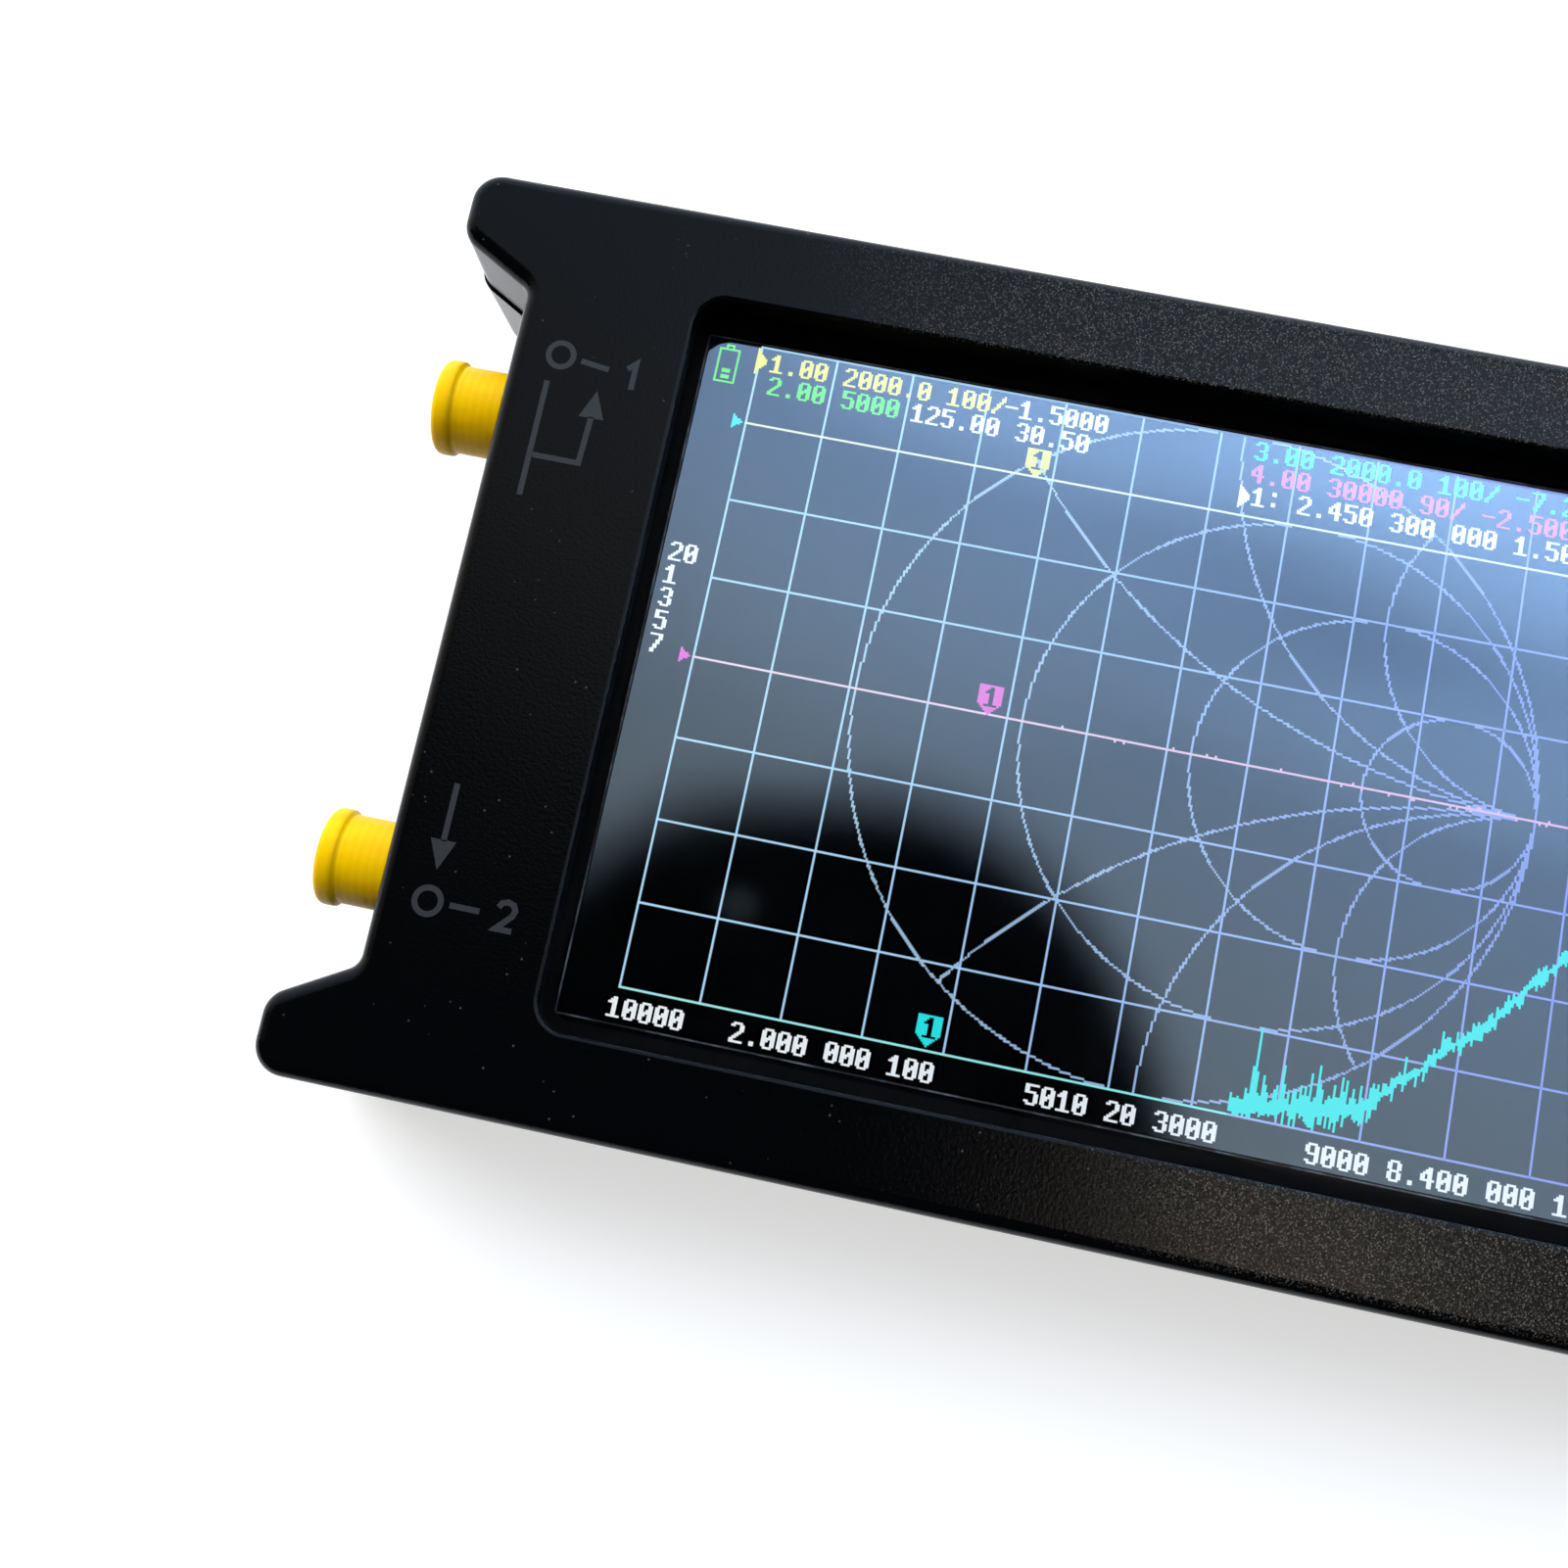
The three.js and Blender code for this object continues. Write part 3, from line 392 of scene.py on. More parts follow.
def noise(place, scale, detail=2.0, roughness=0.5):
    settings = {"Vector": place, "Scale": scale, "Detail": detail, "Roughness": roughness}
    return node(place.id_data, "ShaderNodeTexNoise", settings)["Fac"]


def cells(place, scale):
    """Random cells: the distance from the nearest one's middle, and its random shares."""
    tree = place.id_data
    found = node(tree, "ShaderNodeTexVoronoi", {"Vector": place, "Scale": scale})
    return found["Distance"], node(tree, "ShaderNodeSeparateColor", {0: found["Color"]})


def between(share, low, high):
    span = {"Value": share, "To Min": low, "To Max": high}
    return node(share.id_data, "ShaderNodeMapRange", span)[0]


def bump(raised, depth):
    return node(raised.id_data, "ShaderNodeBump", {"Height": raised, "Distance": depth})[0]


def finish_material(made, **inputs):
    named = {key.replace("_", " "): value for key, value in inputs.items()}
    surface = node(made.node_tree, "ShaderNodeBsdfPrincipled", named)[0]
    node(made.node_tree, "ShaderNodeOutputMaterial", {"Surface": surface})


cloud_scale, grain_scale, speck_scale = 90.0, 3300.0, 1100.0
speck_span, least_chance, speck_strength = (0.13, 0.04), 0.8, 0.55
speck_colour = (0.09, 0.095, 0.105)
patch_scale, patch_span = 24.0, (0.3, 0.65)
# Painted sheen: where on the flat face the grain's tips are painted paler, standing in for
# reflected light, growing towards the far end.
sheen_slope, sheen_span, sheen_heights = 0.5, (-0.021, -0.005), (0.0198, 0.01998)
tip_scale, tip_span, tip_power = 1.9 * grain_scale, (0.62, 0.12), 1.7


def moulded_black(name, dark, light, shine, depth=0.00004, gloss=0.12, painted_sheen=None):
    """Grained black plastic: two near-blacks in soft clouds, fine grain and a few pale specks.
    Where a sheen colour is given, the tips of the grain on the face are painted paler as a painted
    sheen of reflected light, more of them towards the far end."""
    made, place = patterned(name)
    fine = noise(place, grain_scale, 3.0, 0.65)
    clouds = noise(place, cloud_scale, 4.0)
    distance, shares = cells(place, speck_scale)
    rare = maths("GREATER_THAN", shares[0], least_chance)
    speck = times(times(soft_step(distance, *speck_span), rare), speck_strength)
    ground = blend(times(plus(clouds, fine), 0.5), dark, light)
    # Painted sheen: paler grain tips in soft patches, only on the flat top of the face, standing in
    # for reflected light.
    if painted_sheen:
        x, y, z = parts_of(place)
        patches = soft_step(noise(place, patch_scale), *patch_span)
        share = times(soft_step(plus(x, times(y, sheen_slope)), *sheen_span), patches)
        share = times(share, soft_step(z, *sheen_heights))
        distance, shares = cells(place, tip_scale)
        bright = maths("POWER", shares[1], tip_power)
        tips = times(soft_step(distance, *tip_span), bright)
        ground = blend(times(tips, share), ground, painted_sheen)
    finish_material(
        made,
        Base_Color=blend(speck, ground, speck_colour),
        Roughness=between(fine, *shine),
        Specular_IOR_Level=gloss,
        Normal=bump(fine, depth),
    )
    return made


def place_piece(piece, finish, body="base", stands_for=()):
    piece.data.materials.clear()
    piece.data.materials.append(finish)
    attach(piece, body)
    if stands_for:
        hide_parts(*stands_for)


near_black, soft_black = (0.0005, 0.0007, 0.001), (0.0013, 0.0016, 0.0022)
# The paler grey painted on the face's grain tips is a painted sheen of reflected light.
painted_sheen_grey = (0.14, 0.125, 0.107)
case_black = moulded_black(
    "case_black", near_black, soft_black, (0.06, 0.2), depth=0.00002, painted_sheen=painted_sheen_grey
)

tray = loft(
    "rear_case",
    case_corners,
    round_edge(back_round, -1, back_round, rear_inset)[::-1]
    + [(back_round, rear_inset), (seam_low - seam_edge / 2, 0), (seam_low, seam_edge / 2)],
)
hollow_levels = [(floor_top, wall_thick + rear_inset)]
hollow_levels += [(seam_low - beyond, wall_thick), (seam_low + beyond, wall_thick)]
combine(tray, [loft("hollow", case_corners, hollow_levels)], "DIFFERENCE")
case_inside = outline(case_corners, wall_thick)
lip = prism(outline(case_corners, lip_outside), (seam_low - beyond, lip_top))
combine(lip, [prism(case_inside, (seam_low - 2 * beyond, lip_top + beyond))], "DIFFERENCE")
added = posts(case_post, case_screw_spots, floor_top / 2, case_post_top)
added += posts(board_post, board_screw_spots, floor_top / 2, board_post_top)
combine(tray, [lip] + added, "UNION")
bores = posts(case_hole, case_screw_spots, *case_hole_ends)
bores += posts(board_hole, board_screw_spots, *board_hole_ends)
sink_rings = [(-beyond, sink_edge), (0, sink_edge), (sink_edge, 0), (sink_depth, 0)]
for spot in case_screw_spots:
    bores.append(stack("sink", [(z, disc(sink_radius + wider, spot)) for z, wider in sink_rings]))
combine(tray, bores + wall_cutters(), "DIFFERENCE")
smooth(tray)
place_piece(tray, case_black, stands_for=["rear_shell"])


# Battery. A soft pouch cell in laminated foil on a foam pad, with two soft leads that end in a
# white plug under the board.
def dress(finish, *names):
    for name in names:
        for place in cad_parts[name].material_slots:
            place.material = finish


def plain_finish(name, colour, mottle=0.12, scale=400.0, depth=0.00001, **surface):
    """A finish of one colour with faint clouds and a faintly uneven surface."""
    made, place = patterned(name)
    clouds = noise(place, scale, 4.0, 0.6)
    low = [value * (1 - mottle) for value in colour]
    high = [min(1.0, value * (1 + mottle)) for value in colour]
    cloudy = blend(clouds, low, high)
    finish_material(made, Base_Color=cloudy, Normal=bump(clouds, depth), **surface)
    return made


foam = plain_finish("foam", (0.02, 0.02, 0.021), 0.4, 2500.0, 0.00008, Roughness=0.95)
pouch = plain_finish(
    "pouch_foil", (0.52, 0.54, 0.56), 0.08, 120.0, 0.00006, Metallic=0.8, Roughness=0.38
)
white_plastic = plain_finish("white_plastic", (0.8, 0.78, 0.72), 0.04, Roughness=0.5)
dress(foam, "battery_pad")
dress(pouch, "battery_cell")
dress(white_plastic, "battery_plug")
for name, colour in (("red", (0.45, 0.012, 0.01)), ("black", (0.012, 0.012, 0.013))):
    dress(plain_finish(name + "_lead", colour, Roughness=0.45), "battery_lead_" + name)

# Main board and the parts soldered on it. Glass fibre laminate under a dark green mask, in
# which the copper tracks show as paler lines, with moulded chips and folded tin cans.
board_dark, board_track = (0.006, 0.02, 0.013, 1.0), (0.014, 0.05, 0.03, 1.0)
track_scale, track_width = 260.0, 0.05
board_green, place = patterned("board_green")
mask_colours = {"Color1": board_dark, "Color2": board_dark, "Mortar": board_track}
mask_sizes = {"Vector": place, "Scale": track_scale, "Mortar Size": track_width}
tracks = node(board_green.node_tree, "ShaderNodeTexBrick", mask_colours | mask_sizes)
weave = noise(place, 1500.0, 3.0)
finish_material(
    board_green,
    Base_Color=tracks["Color"],
    Roughness=0.35,
    Normal=bump(plus(tracks["Fac"], weave), 0.00003),
)
chip_black = plain_finish("chip_black", (0.02, 0.02, 0.021), 0.25, 3000.0, Roughness=0.55)


def brushed_metal(name, colour, rough, stretch=(40.0, 1500.0, 1500.0), depth=0.000004):
    """Bare or plated metal with fine lines along one direction, left by rolling or turning."""
    made, place = patterned(name)
    lines = noise(stretched(place, stretch), 1.0, 4.0, 0.6)
    finish_material(
        made,
        Base_Color=blend(lines, [value * 0.86 for value in colour], colour),
        Metallic=1.0,
        Roughness=between(lines, rough * 0.75, rough * 1.3),
        Normal=bump(lines, depth),
    )
    return made


tin = brushed_metal("tin", (0.62, 0.63, 0.65), 0.3)
dress(board_green, "main_board")
dress(chip_black, "controller_chip", "memory_chip", "charger_chip", "mixer_chip")
dress(tin, "clock_can", "port_shield_1", "port_shield_2", "middle_shield")

# Port jacks. Gold-plated brass, turned, with a cut thread, a square flange behind the port wall
# and four legs on the board. A white insulator holds the gold contact in the middle.
jack_mouth, insulator_bore = -62.3, 2.1
# Each point of the jack's section is a radius and a distance from its mouth.
jack_points = [(2.4, 0), (2.68, 0), (2.78, 0.1), (2.78, 8.45), (insulator_bore, 8.45)]
jack_points += [(insulator_bore, 1.8), (2.3, 1.8), (2.3, 0.1)]
jack_profile = [(radius, jack_mouth + distance) for radius, distance in jack_points]
thread_start, thread_turns, thread_pitch = 0.35, 6.0, 0.7
thread_sizes = {"Steps": 48, "Turns": thread_turns, "Length": thread_pitch * thread_turns * mm}
thread_sizes |= {"Radius": 2.86 * mm, "Tooth": 0.34 * mm}
flange_face, flange_back, flange_side = -54.65, -53.05, 7.0
leg_sink, leg_reach, leg_width = 0.2, 3.6, 1.1
leg_levels = [(11.1, 12.0), (8.2, 9.1)]


def closed_mesh(name, points, faces):
    """A mesh with its doubled points merged and all its faces outwards."""
    made = add_mesh(name, points, faces)
    shape = bmesh.new()
    shape.from_mesh(made.data)
    bmesh.ops.remove_doubles(shape, verts=shape.verts, dist=mm * 1e-4)
    bmesh.ops.recalc_face_normals(shape, faces=shape.faces)
    shape.to_mesh(made.data)
    shape.free()
    return made


def turned(name, profile, middle, sides=round_sides):
    """A piece turned about a line along X. Its profile is a loop of radius and distance."""
    (y, z), count = middle, len(profile)
    points, faces = [], []
    for k in range(sides):
        angle = 2 * math.pi * k / sides
        out_y, out_z = math.cos(angle), math.sin(angle)
        points += [(x * mm, (y + r * out_y) * mm, (z + r * out_z) * mm) for r, x in profile]
        here, after = k * count, (k + 1) % sides * count
        for i in range(count):
            j = (i + 1) % count
            if profile[i][0] or profile[j][0]:
                faces.append((here + i, here + j, after + j, after + i))
    return closed_mesh(name, points, faces)


def box(x_span, y_span, z_span, name="block"):
    (x0, x1), (y0, y1) = x_span, y_span
    return prism([(x0, y0), (x1, y0), (x1, y1), (x0, y1)], z_span, name)


def around(middle, size):
    return (middle - size / 2, middle + size / 2)


socket_kinds = {float: "Float", int: "Int", tuple: "Vector"}


def grow(name, piece, sizes, build, finish):
    """Runs a tree with named sizes on a piece, and leaves its result as the piece's mesh."""
    tree = bpy.data.node_groups.new(name, "GeometryNodeTree")
    tree.interface.new_socket("Result", in_out="OUTPUT", socket_type="NodeSocketGeometry")
    kinds = {"Piece": "Geometry"} | {key: socket_kinds[type(sizes[key])] for key in sizes}
    sockets = {
        key: tree.interface.new_socket(key, in_out="INPUT", socket_type="NodeSocket" + kind)
        for key, kind in kinds.items()
    }
    shape = build(tree, node(tree, "NodeGroupInput"))
    joined = node(tree, "GeometryNodeRealizeInstances", {0: shape})[0]
    dressed = node(tree, "GeometryNodeSetMaterial", {0: joined, "Material": finish})[0]
    node(tree, "NodeGroupOutput", {0: dressed})
    grown = piece.modifiers.new(name, "NODES")
    grown.node_group = tree
    for key, value in sizes.items():
        grown[sockets[key].identifier] = value
    return settle(piece)


def thread_tree(tree, given):
    sizes = {"Resolution": given["Steps"], "Rotations": given["Turns"], "Height": given["Length"]}
    sizes |= {"Start Radius": given["Radius"], "End Radius": given["Radius"]}
    helix = node(tree, "GeometryNodeCurveSpiral", sizes)[0]
    tooth = {"Resolution": 3, "Radius": given["Tooth"]}
    tooth = node(tree, "GeometryNodeCurvePrimitiveCircle", tooth, mode="RADIUS")[0]
    ridge = {"Curve": helix, "Profile Curve": tooth, "Fill Caps": True}
    ridge = node(tree, "GeometryNodeCurveToMesh", ridge)[0]
    laid = {"Geometry": ridge, "Translation": given["Start"], "Rotation": (0.0, math.pi / 2, 0.0)}
    return node(tree, "GeometryNodeTransform", laid)[0]


gold = brushed_metal("gold_plate", (0.87, 0.62, 0.24), 0.22, (1800.0, 60.0, 60.0))
leg_offset = (flange_side - leg_width) / 2
for number, (y, z) in enumerate(port_spots, 1):
    barrel = turned("sma_jack_%d_body" % number, jack_profile, (y, z))
    flange = box((flange_face, flange_back), around(y, flange_side), around(z, flange_side))
    hole = prism(disc(insulator_bore, (z, y)), (flange_face - beyond, flange_back + beyond))
    combine(flange, [lay_along(hole, "X")], "DIFFERENCE")
    legs = [
        box((flange_back - leg_sink, flange_back + leg_reach), around(y + side, leg_width), level)
        for side in (-leg_offset, leg_offset)
        for level in leg_levels
    ]
    combine(barrel, [flange] + legs, "UNION")
    name = "sma_thread_%d" % number
    sizes = thread_sizes | {"Start": ((jack_mouth + thread_start) * mm, y * mm, z * mm)}
    thread = grow(name, add_mesh(name, [], []), sizes, thread_tree, gold)
    smooth(barrel, 35)
    place_piece(barrel, gold, stands_for=["sma_jack_%d" % number])
    place_piece(thread, gold)
    dress(white_plastic, "sma_insulator_%d" % number)
    dress(gold, "sma_contact_%d" % number)

# Dust caps. Soft yellow polyethylene, moulded in one piece with a thicker rim at the closed
# end, and pushed over the thread, which shows through the wall as faint rings.
cap_end, cap_sides = -63.5, 72
cap_rim, cap_round, cap_round_steps = 3.95, 0.55, 4
# Each point is a radius and a distance from the closed end.
cap_dish = [(0.0, 0.25), (1.6, 0.2), (2.2, 0.0)]
cap_side = [(cap_rim, 1.1), (3.92, 1.38), (3.83, 1.5), (3.67, 1.64), (3.62, 1.85)]
cap_side += [(3.65, 7.95), (3.57, 8.1)]
cap_inside = [(3.4, 8.1), (3.3, 7.95), (3.3, 1.1), (3.1, 0.9), (0.0, 0.9)]
cap_light, cap_deep = (1.0, 0.6, 0.0), (0.96, 0.49, 0.0)
ring_span, ring_strength = (1.4, 2.2), 0.34
cap_cloud_span, cap_cloud_strength = (0.35, 0.7), 0.5

cap_yellow, place = patterned("cap_yellow")
x_place = parts_of(place)["X"]
wave = maths("SINE", times(x_place, 2 * math.pi / (thread_pitch * mm)))
past_rim = soft_step(x_place, *[(cap_end + distance) * mm for distance in ring_span])
rings = times(plus(times(wave, 0.5), 0.5), past_rim)
clouds = noise(stretched(place, (0.35, 1.0, 1.0)), 900.0, 4.0, 0.6)
cloudy = times(soft_step(clouds, *cap_cloud_span), cap_cloud_strength)
finish_material(
    cap_yellow,
    Base_Color=blend(plus(times(rings, ring_strength), cloudy), cap_light, cap_deep),
    Roughness=0.42,
    Specular_IOR_Level=0.3,
    Specular_Tint=(1.0, 0.86, 0.3, 1.0),
    Subsurface_Weight=0.12,
    Subsurface_Radius=(1.0, 0.6, 0.1),
    Subsurface_Scale=0.0008,
    Normal=bump(plus(rings, clouds), 0.000008),
)

angles = [math.pi / 2 * k / cap_round_steps for k in range(cap_round_steps + 1)]
cap_corner = [
    (cap_rim - cap_round * (1 - math.sin(a)), cap_round * (1 - math.cos(a))) for a in angles
]
cap_points = cap_dish + cap_corner + cap_side + cap_inside
cap_profile = [(radius, cap_end + distance) for radius, distance in cap_points]
for number, spot in enumerate(port_spots, 1):
    cap = turned("dust_cap_%d_body" % number, cap_profile, spot, cap_sides)
    smooth(cap, 40)
    place_piece(cap, cap_yellow, "cap_%d" % number, ["dust_cap_%d" % number])

# Sockets at the far end. A rolled steel USB shell with a black tongue and its contacts, and a
# flat steel card socket under the board.
usb_mouth, tongue_half = 62.9, 0.35
contact_count, contact_pitch = 12, 0.5
contact_size, contact_inside = (3.4, 0.26, 0.05), 3.4
satin_dark, satin_light = (0.008, 0.008, 0.009), (0.013, 0.013, 0.014)
satin_black = moulded_black("satin_black", satin_dark, satin_light, (0.3, 0.42))
nickel = brushed_metal("nickel", (0.66, 0.65, 0.62), 0.24, (60.0, 1200.0, 1200.0))


def row_tree(tree, given):
    spots = {"Count": given["Count"], "Start Location": given["Start"], "Offset": given["Step"]}
    line = node(tree, "GeometryNodeMeshLine", spots, mode="OFFSET")[0]
    copies = {"Points": line, "Instance": given["Piece"]}
    return node(tree, "GeometryNodeInstanceOnPoints", copies)[0]


def place_row(piece, count, start, step, finish, body="base"):
    """Repeats a piece along a line whose start and step are in millimetres, and places it."""
    start, step = [tuple(value * mm for value in given) for given in (start, step)]
    sizes = {"Count": count, "Start": start, "Step": step}
    place_piece(grow(piece.name, piece, sizes, row_tree, finish), finish, body)


contact = box(*[around(0, size) for size in contact_size], name="usb_contacts")
first_contact = usb_spot[1] - contact_pitch * (contact_count - 1) / 2
contact_start = (usb_mouth - contact_inside, first_contact, usb_spot[0] + tongue_half)
place_row(contact, contact_count, contact_start, (0.0, contact_pitch, 0.0), gold)
dress(nickel, "usb_shell", "card_socket")
dress(satin_black, "usb_tongue")

# Power switch and jog switch. Steel and black bodies on the board, with black knobs: the one
# slides along the end wall, and the other tilts and is pressed through the upper wall.
ridge_base, ridge_crest = (0.42, 2.0), (0.2, 1.84)
ridge_levels = [(-0.1, ridge_base), (0.02, ridge_base), (0.2, ridge_crest)]
# Each row of ridges has its body, the way its knob faces, its count, its middle and its step.
knob_rows = {
    "power_ridges": ("power_slider", "X", 4, (63.1, 14.1, 12.7), (0.0, 0.78, 0.0)),
    "jog_ridges": ("jog_arm", "Y", 5, (51.1, 36.55, 12.7), (0.84, 0.0, 0.0)),
}


def knob_ridge(name, facing):
    """One grip ridge, lying on the knob's face with its crest outwards."""
    order = -1 if facing == "X" else 1
    rings = [(z, [point[:2] for point in rectangle(*size[::order], 0)]) for z, size in ridge_levels]
    return lay_along(stack(name, rings), facing)


dress(nickel, "power_switch_body")
dress(satin_black, "power_switch_knob", "jog_switch_body", "jog_block", "jog_lever")
for name, (body, facing, count, middle, step) in knob_rows.items():
    start = Vector(middle) - Vector(step) * (count - 1) / 2
    place_row(knob_ridge(name, facing), count, start, step, satin_black, body)

# Display ribbon, light tray and panel. An amber film runs from the tray's edge to its white
# socket, and the panel lies in the tray with a black border round its lit dots.
dress(white_plastic, "ribbon_socket")
amber = plain_finish("ribbon_amber", (0.5, 0.2, 0.035), 0.1, 300.0, Roughness=0.3)
dress(amber, "display_ribbon")
dress(tin, "light_tray")
panel_black = plain_finish(
    "panel_black", (0.0012, 0.0014, 0.002), 0.3, 60.0, 0.0, Roughness=0.15, Specular_IOR_Level=0.05
)
dress(panel_black, "display_panel")

# Picture on the display. It is drawn on the panel's own dots: a grid, a round chart with its
# arcs, three traces, markers and plain numbers. Rows are counted down from the grid's top left.
dot = 0.174
picture_left, picture_top, picture_level = -37.65, 27.8, 15.83
picture_columns, picture_rows = (-24, 455), (0, 319)
film_level, film_thick = 15.802, 0.01
film_light = {"IOR": 3.0, "Specular_Tint": (0.5, 0.69, 0.94, 1.0), "Roughness": 0.05}
pale_span = (-0.042, 0.05)
grid_width, grid_height, grid_rows, grid_columns, grid_step = 454, 304, 8, 13, 36.04
glyph_step = 7
glyphs = {
    "0": "011110 110011 110011 110111 111111 111011 110011 110011 011110",
    "1": "001100 011100 111100 001100 001100 001100 001100 001100 111111",
    "2": "011110 110011 000011 000011 000110 001100 011000 110000 111111",
    "3": "011110 110011 000011 000011 001110 000011 000011 110011 011110",
    "4": "000110 001110 011110 110110 110110 111111 000110 000110 000110",
    "5": "111111 110000 110000 111110 000011 000011 000011 110011 011110",
    "7": "111111 000011 000011 000110 000110 001100 001100 011000 011000",
    "8": "011110 110011 110011 110011 011110 110011 110011 110011 011110",
    "9": "011110 110011 110011 110011 011111 000011 000011 110011 011110",
    ".": "000000 000000 000000 000000 000000 000000 000000 001100 001100",
    ":": "000000 001100 001100 000000 000000 000000 001100 001100 000000",
    "-": "000000 000000 000000 000000 111111 000000 000000 000000 000000",
    "/": "000001 000011 000011 000110 001100 001100 011000 110000 110000",
}


def sign_dots(rows, column, row):
    """Dots of a small sign that is drawn as rows of marks."""
    return {
        (column + right, row + down)
        for down, line in enumerate(rows)
        for right, mark in enumerate(line)
        if mark in "1#"
    }


def write_dots(*lines):
    """Dots of lines of numbers. Each is its text and the column and row where it starts."""
    dots = set()
    for text, column, row in lines:
        for k, sign in enumerate(text):
            dots |= sign_dots(glyphs.get(sign, "").split(), column + k * glyph_step, row)
    return dots


def block_spans(columns, rows):
    """From left to right and from low to high, what a block of dots covers in millimetres."""
    x_span = [picture_left + dot * column for column in (columns[0] - 0.5, columns[1] + 0.5)]
    return x_span, [picture_top - dot * row for row in (rows[1] + 0.5, rows[0] - 0.5)]


def lay_dots(name, dots):
    """A flat layer of lit dots. Dots that touch in a row share one face."""
    points, faces = [], []
    by_row = {}
    for column, row in dots:
        by_row.setdefault(row, []).append(column)
    for row, columns in sorted(by_row.items()):
        columns.sort()
        start = columns[0]
        for here, after in zip(columns, columns[1:] + [None]):
            if after == here + 1:
                continue
            (x0, x1), (y0, y1) = block_spans((start, here), (row, row))
            base, corners = len(points), ((x0, y0), (x1, y0), (x1, y1), (x0, y1))
            points += [(x * mm, y * mm, picture_level * mm) for x, y in corners]
            faces.append(tuple(range(base, base + 4)))
            start = after
    return add_mesh(name, points, faces)


def lit(name, left_colour, right_colour=None):
    """Light from the panel, which pales to one side of the picture."""
    made, place = patterned(name)
    share = soft_step(parts_of(place)["X"], *pale_span)
    finish_material(
        made,
        Base_Color=(0.0, 0.0, 0.0, 1.0),
        Emission_Color=blend(share, left_colour, right_colour or left_colour),
        Emission_Strength=1.0,
        **film_light,
    )
    return made


chart_x, chart_y, chart_radius = 227, 152, 152


def circle_dots(x_middle, y_middle, radius, farthest=math.inf):
    """Dots of a circle, where it is on the grid and near enough to the chart's middle."""
    return {
        (round(x), round(y))
        for x, y in disc(radius, (x_middle, y_middle), int(radius * 9))
        if x < grid_width and -1 < y < grid_height
        and math.hypot(x - chart_x, y - chart_y) <= farthest
    }


chart = circle_dots(chart_x, chart_y, chart_radius)
for radius in (chart_radius * share for share in (0.25, 0.5, 0.75)):
    chart |= circle_dots(chart_x + chart_radius - radius, chart_y, radius)
for radius in (chart_radius * share for share in (0.5, -0.5, 1.0, -1.0, 2.0, -2.0)):
    chart |= circle_dots(chart_x + chart_radius, chart_y + radius, abs(radius), chart_radius)

shield = ["###########"] * 9
shield += [".#########.", "..#######..", "...#####...", "....###....", ".....#....."]
shield_dots = sign_dots(shield, 0, 0) - write_dots(("1", 3, 1))


def marker(column, row):
    return {(column + x, row + y) for x, y in shield_dots}


def pointer(column, row, size, length=5):
    """A solid triangle that points right."""
    return {
        (column + right, row + down)
        for right in range(length)
        for down in range(-size, size + 1)
        if abs(down) / size + right / length <= 1
    }


flat_row, phase_row, baseline_row = 38, 152, 304
noise_start, noise_end, noise_fade, noise_floor = 268, 322, 20, 303
wide_swing, narrow_swing = 9, 4
swing_lift, swing_core, low_share, high_share = 0.45, 0.2, 0.5, 0.75
calm_columns, least_shake, shake_growth = 150, 0.22, 0.3
tall_spikes = {276: 282, 277: 265, 278: 284, 289: 279, 305: 284, 322: 281}
trace_line = [
    (268, 303), (300, 298), (318, 295), (326, 291), (334, 280), (346, 270), (354, 260), (362, 254),
    (370, 248), (378, 236), (420, 186), (454, 150),
]
jitter = random.Random(7)


def trace_row(x):
    for (x0, y0), (x1, y1) in zip(trace_line, trace_line[1:]):
        if x <= x1:
            return y0 + (y1 - y0) * (x - x0) / (x1 - x0)


sweep = set()
for x in range(noise_start, grid_width):
    fade = min(max((x - noise_end) / noise_fade, 0), 1)
    swing = wide_swing - (wide_swing - narrow_swing) * fade
    middle = trace_row(x) - swing_lift * swing
    low = min(noise_floor, middle + (swing_core + abs(jitter.gauss(0, low_share))) * swing)
    high = middle - abs(jitter.gauss(0, high_share)) * swing
    sweep |= {(x, y) for y in range(round(tall_spikes.get(x, high)), round(low) + 1)}
phase = set()
for x in range(grid_width):
    growth = shake_growth * (x - calm_columns) / grid_width
    shake = 0 if x < calm_columns else round(jitter.gauss(0, least_shake + growth))
    phase |= {(x, phase_row + y) for y in range(min(shake, 0), 1 + max(shake, 0))}

side_row, bar_row = ".#........#.", ".#..####..#."
battery = ["....####....", "....#..#....", ".##########."] + [side_row] * 9
battery += [bar_row, bar_row, side_row, bar_row, bar_row, side_row, ".##########."]
white_dots = pointer(229, 29, 5) | write_dots(
    ("-1.5000", 117, 3), ("125.00 30.50", 75, 14), ("1: 2.450 300 000 1.500 000", 235, 24),
    ("20", -21, 101), ("1", -21, 112), ("3", -21, 123), ("5", -21, 134), ("7", -21, 145),
    ("10000", -3, 309), ("2.000 000 100", 52, 309), ("5010 20 3000", 182, 309),
    ("9000 8.400 000 100", 303, 309),
)
yellow_dots = write_dots(("1.00 2000.0 100/", 6, 3)) | pointer(-1, 7, 6) | marker(131, 25)
green_dots = write_dots(("2.00 5000", 7, 14)) | sign_dots(battery, -20, 2)
cyan_dots = write_dots(("3.00 2000.0 100/ -7.2500", 233, 2)) | pointer(-6, flat_row, 3)
magenta_dots = write_dots(("4.00 30000 90/ -2.5000", 233, 13)) | pointer(-6, phase_row, 3)
baseline = {(x, baseline_row) for x in range(noise_start)}
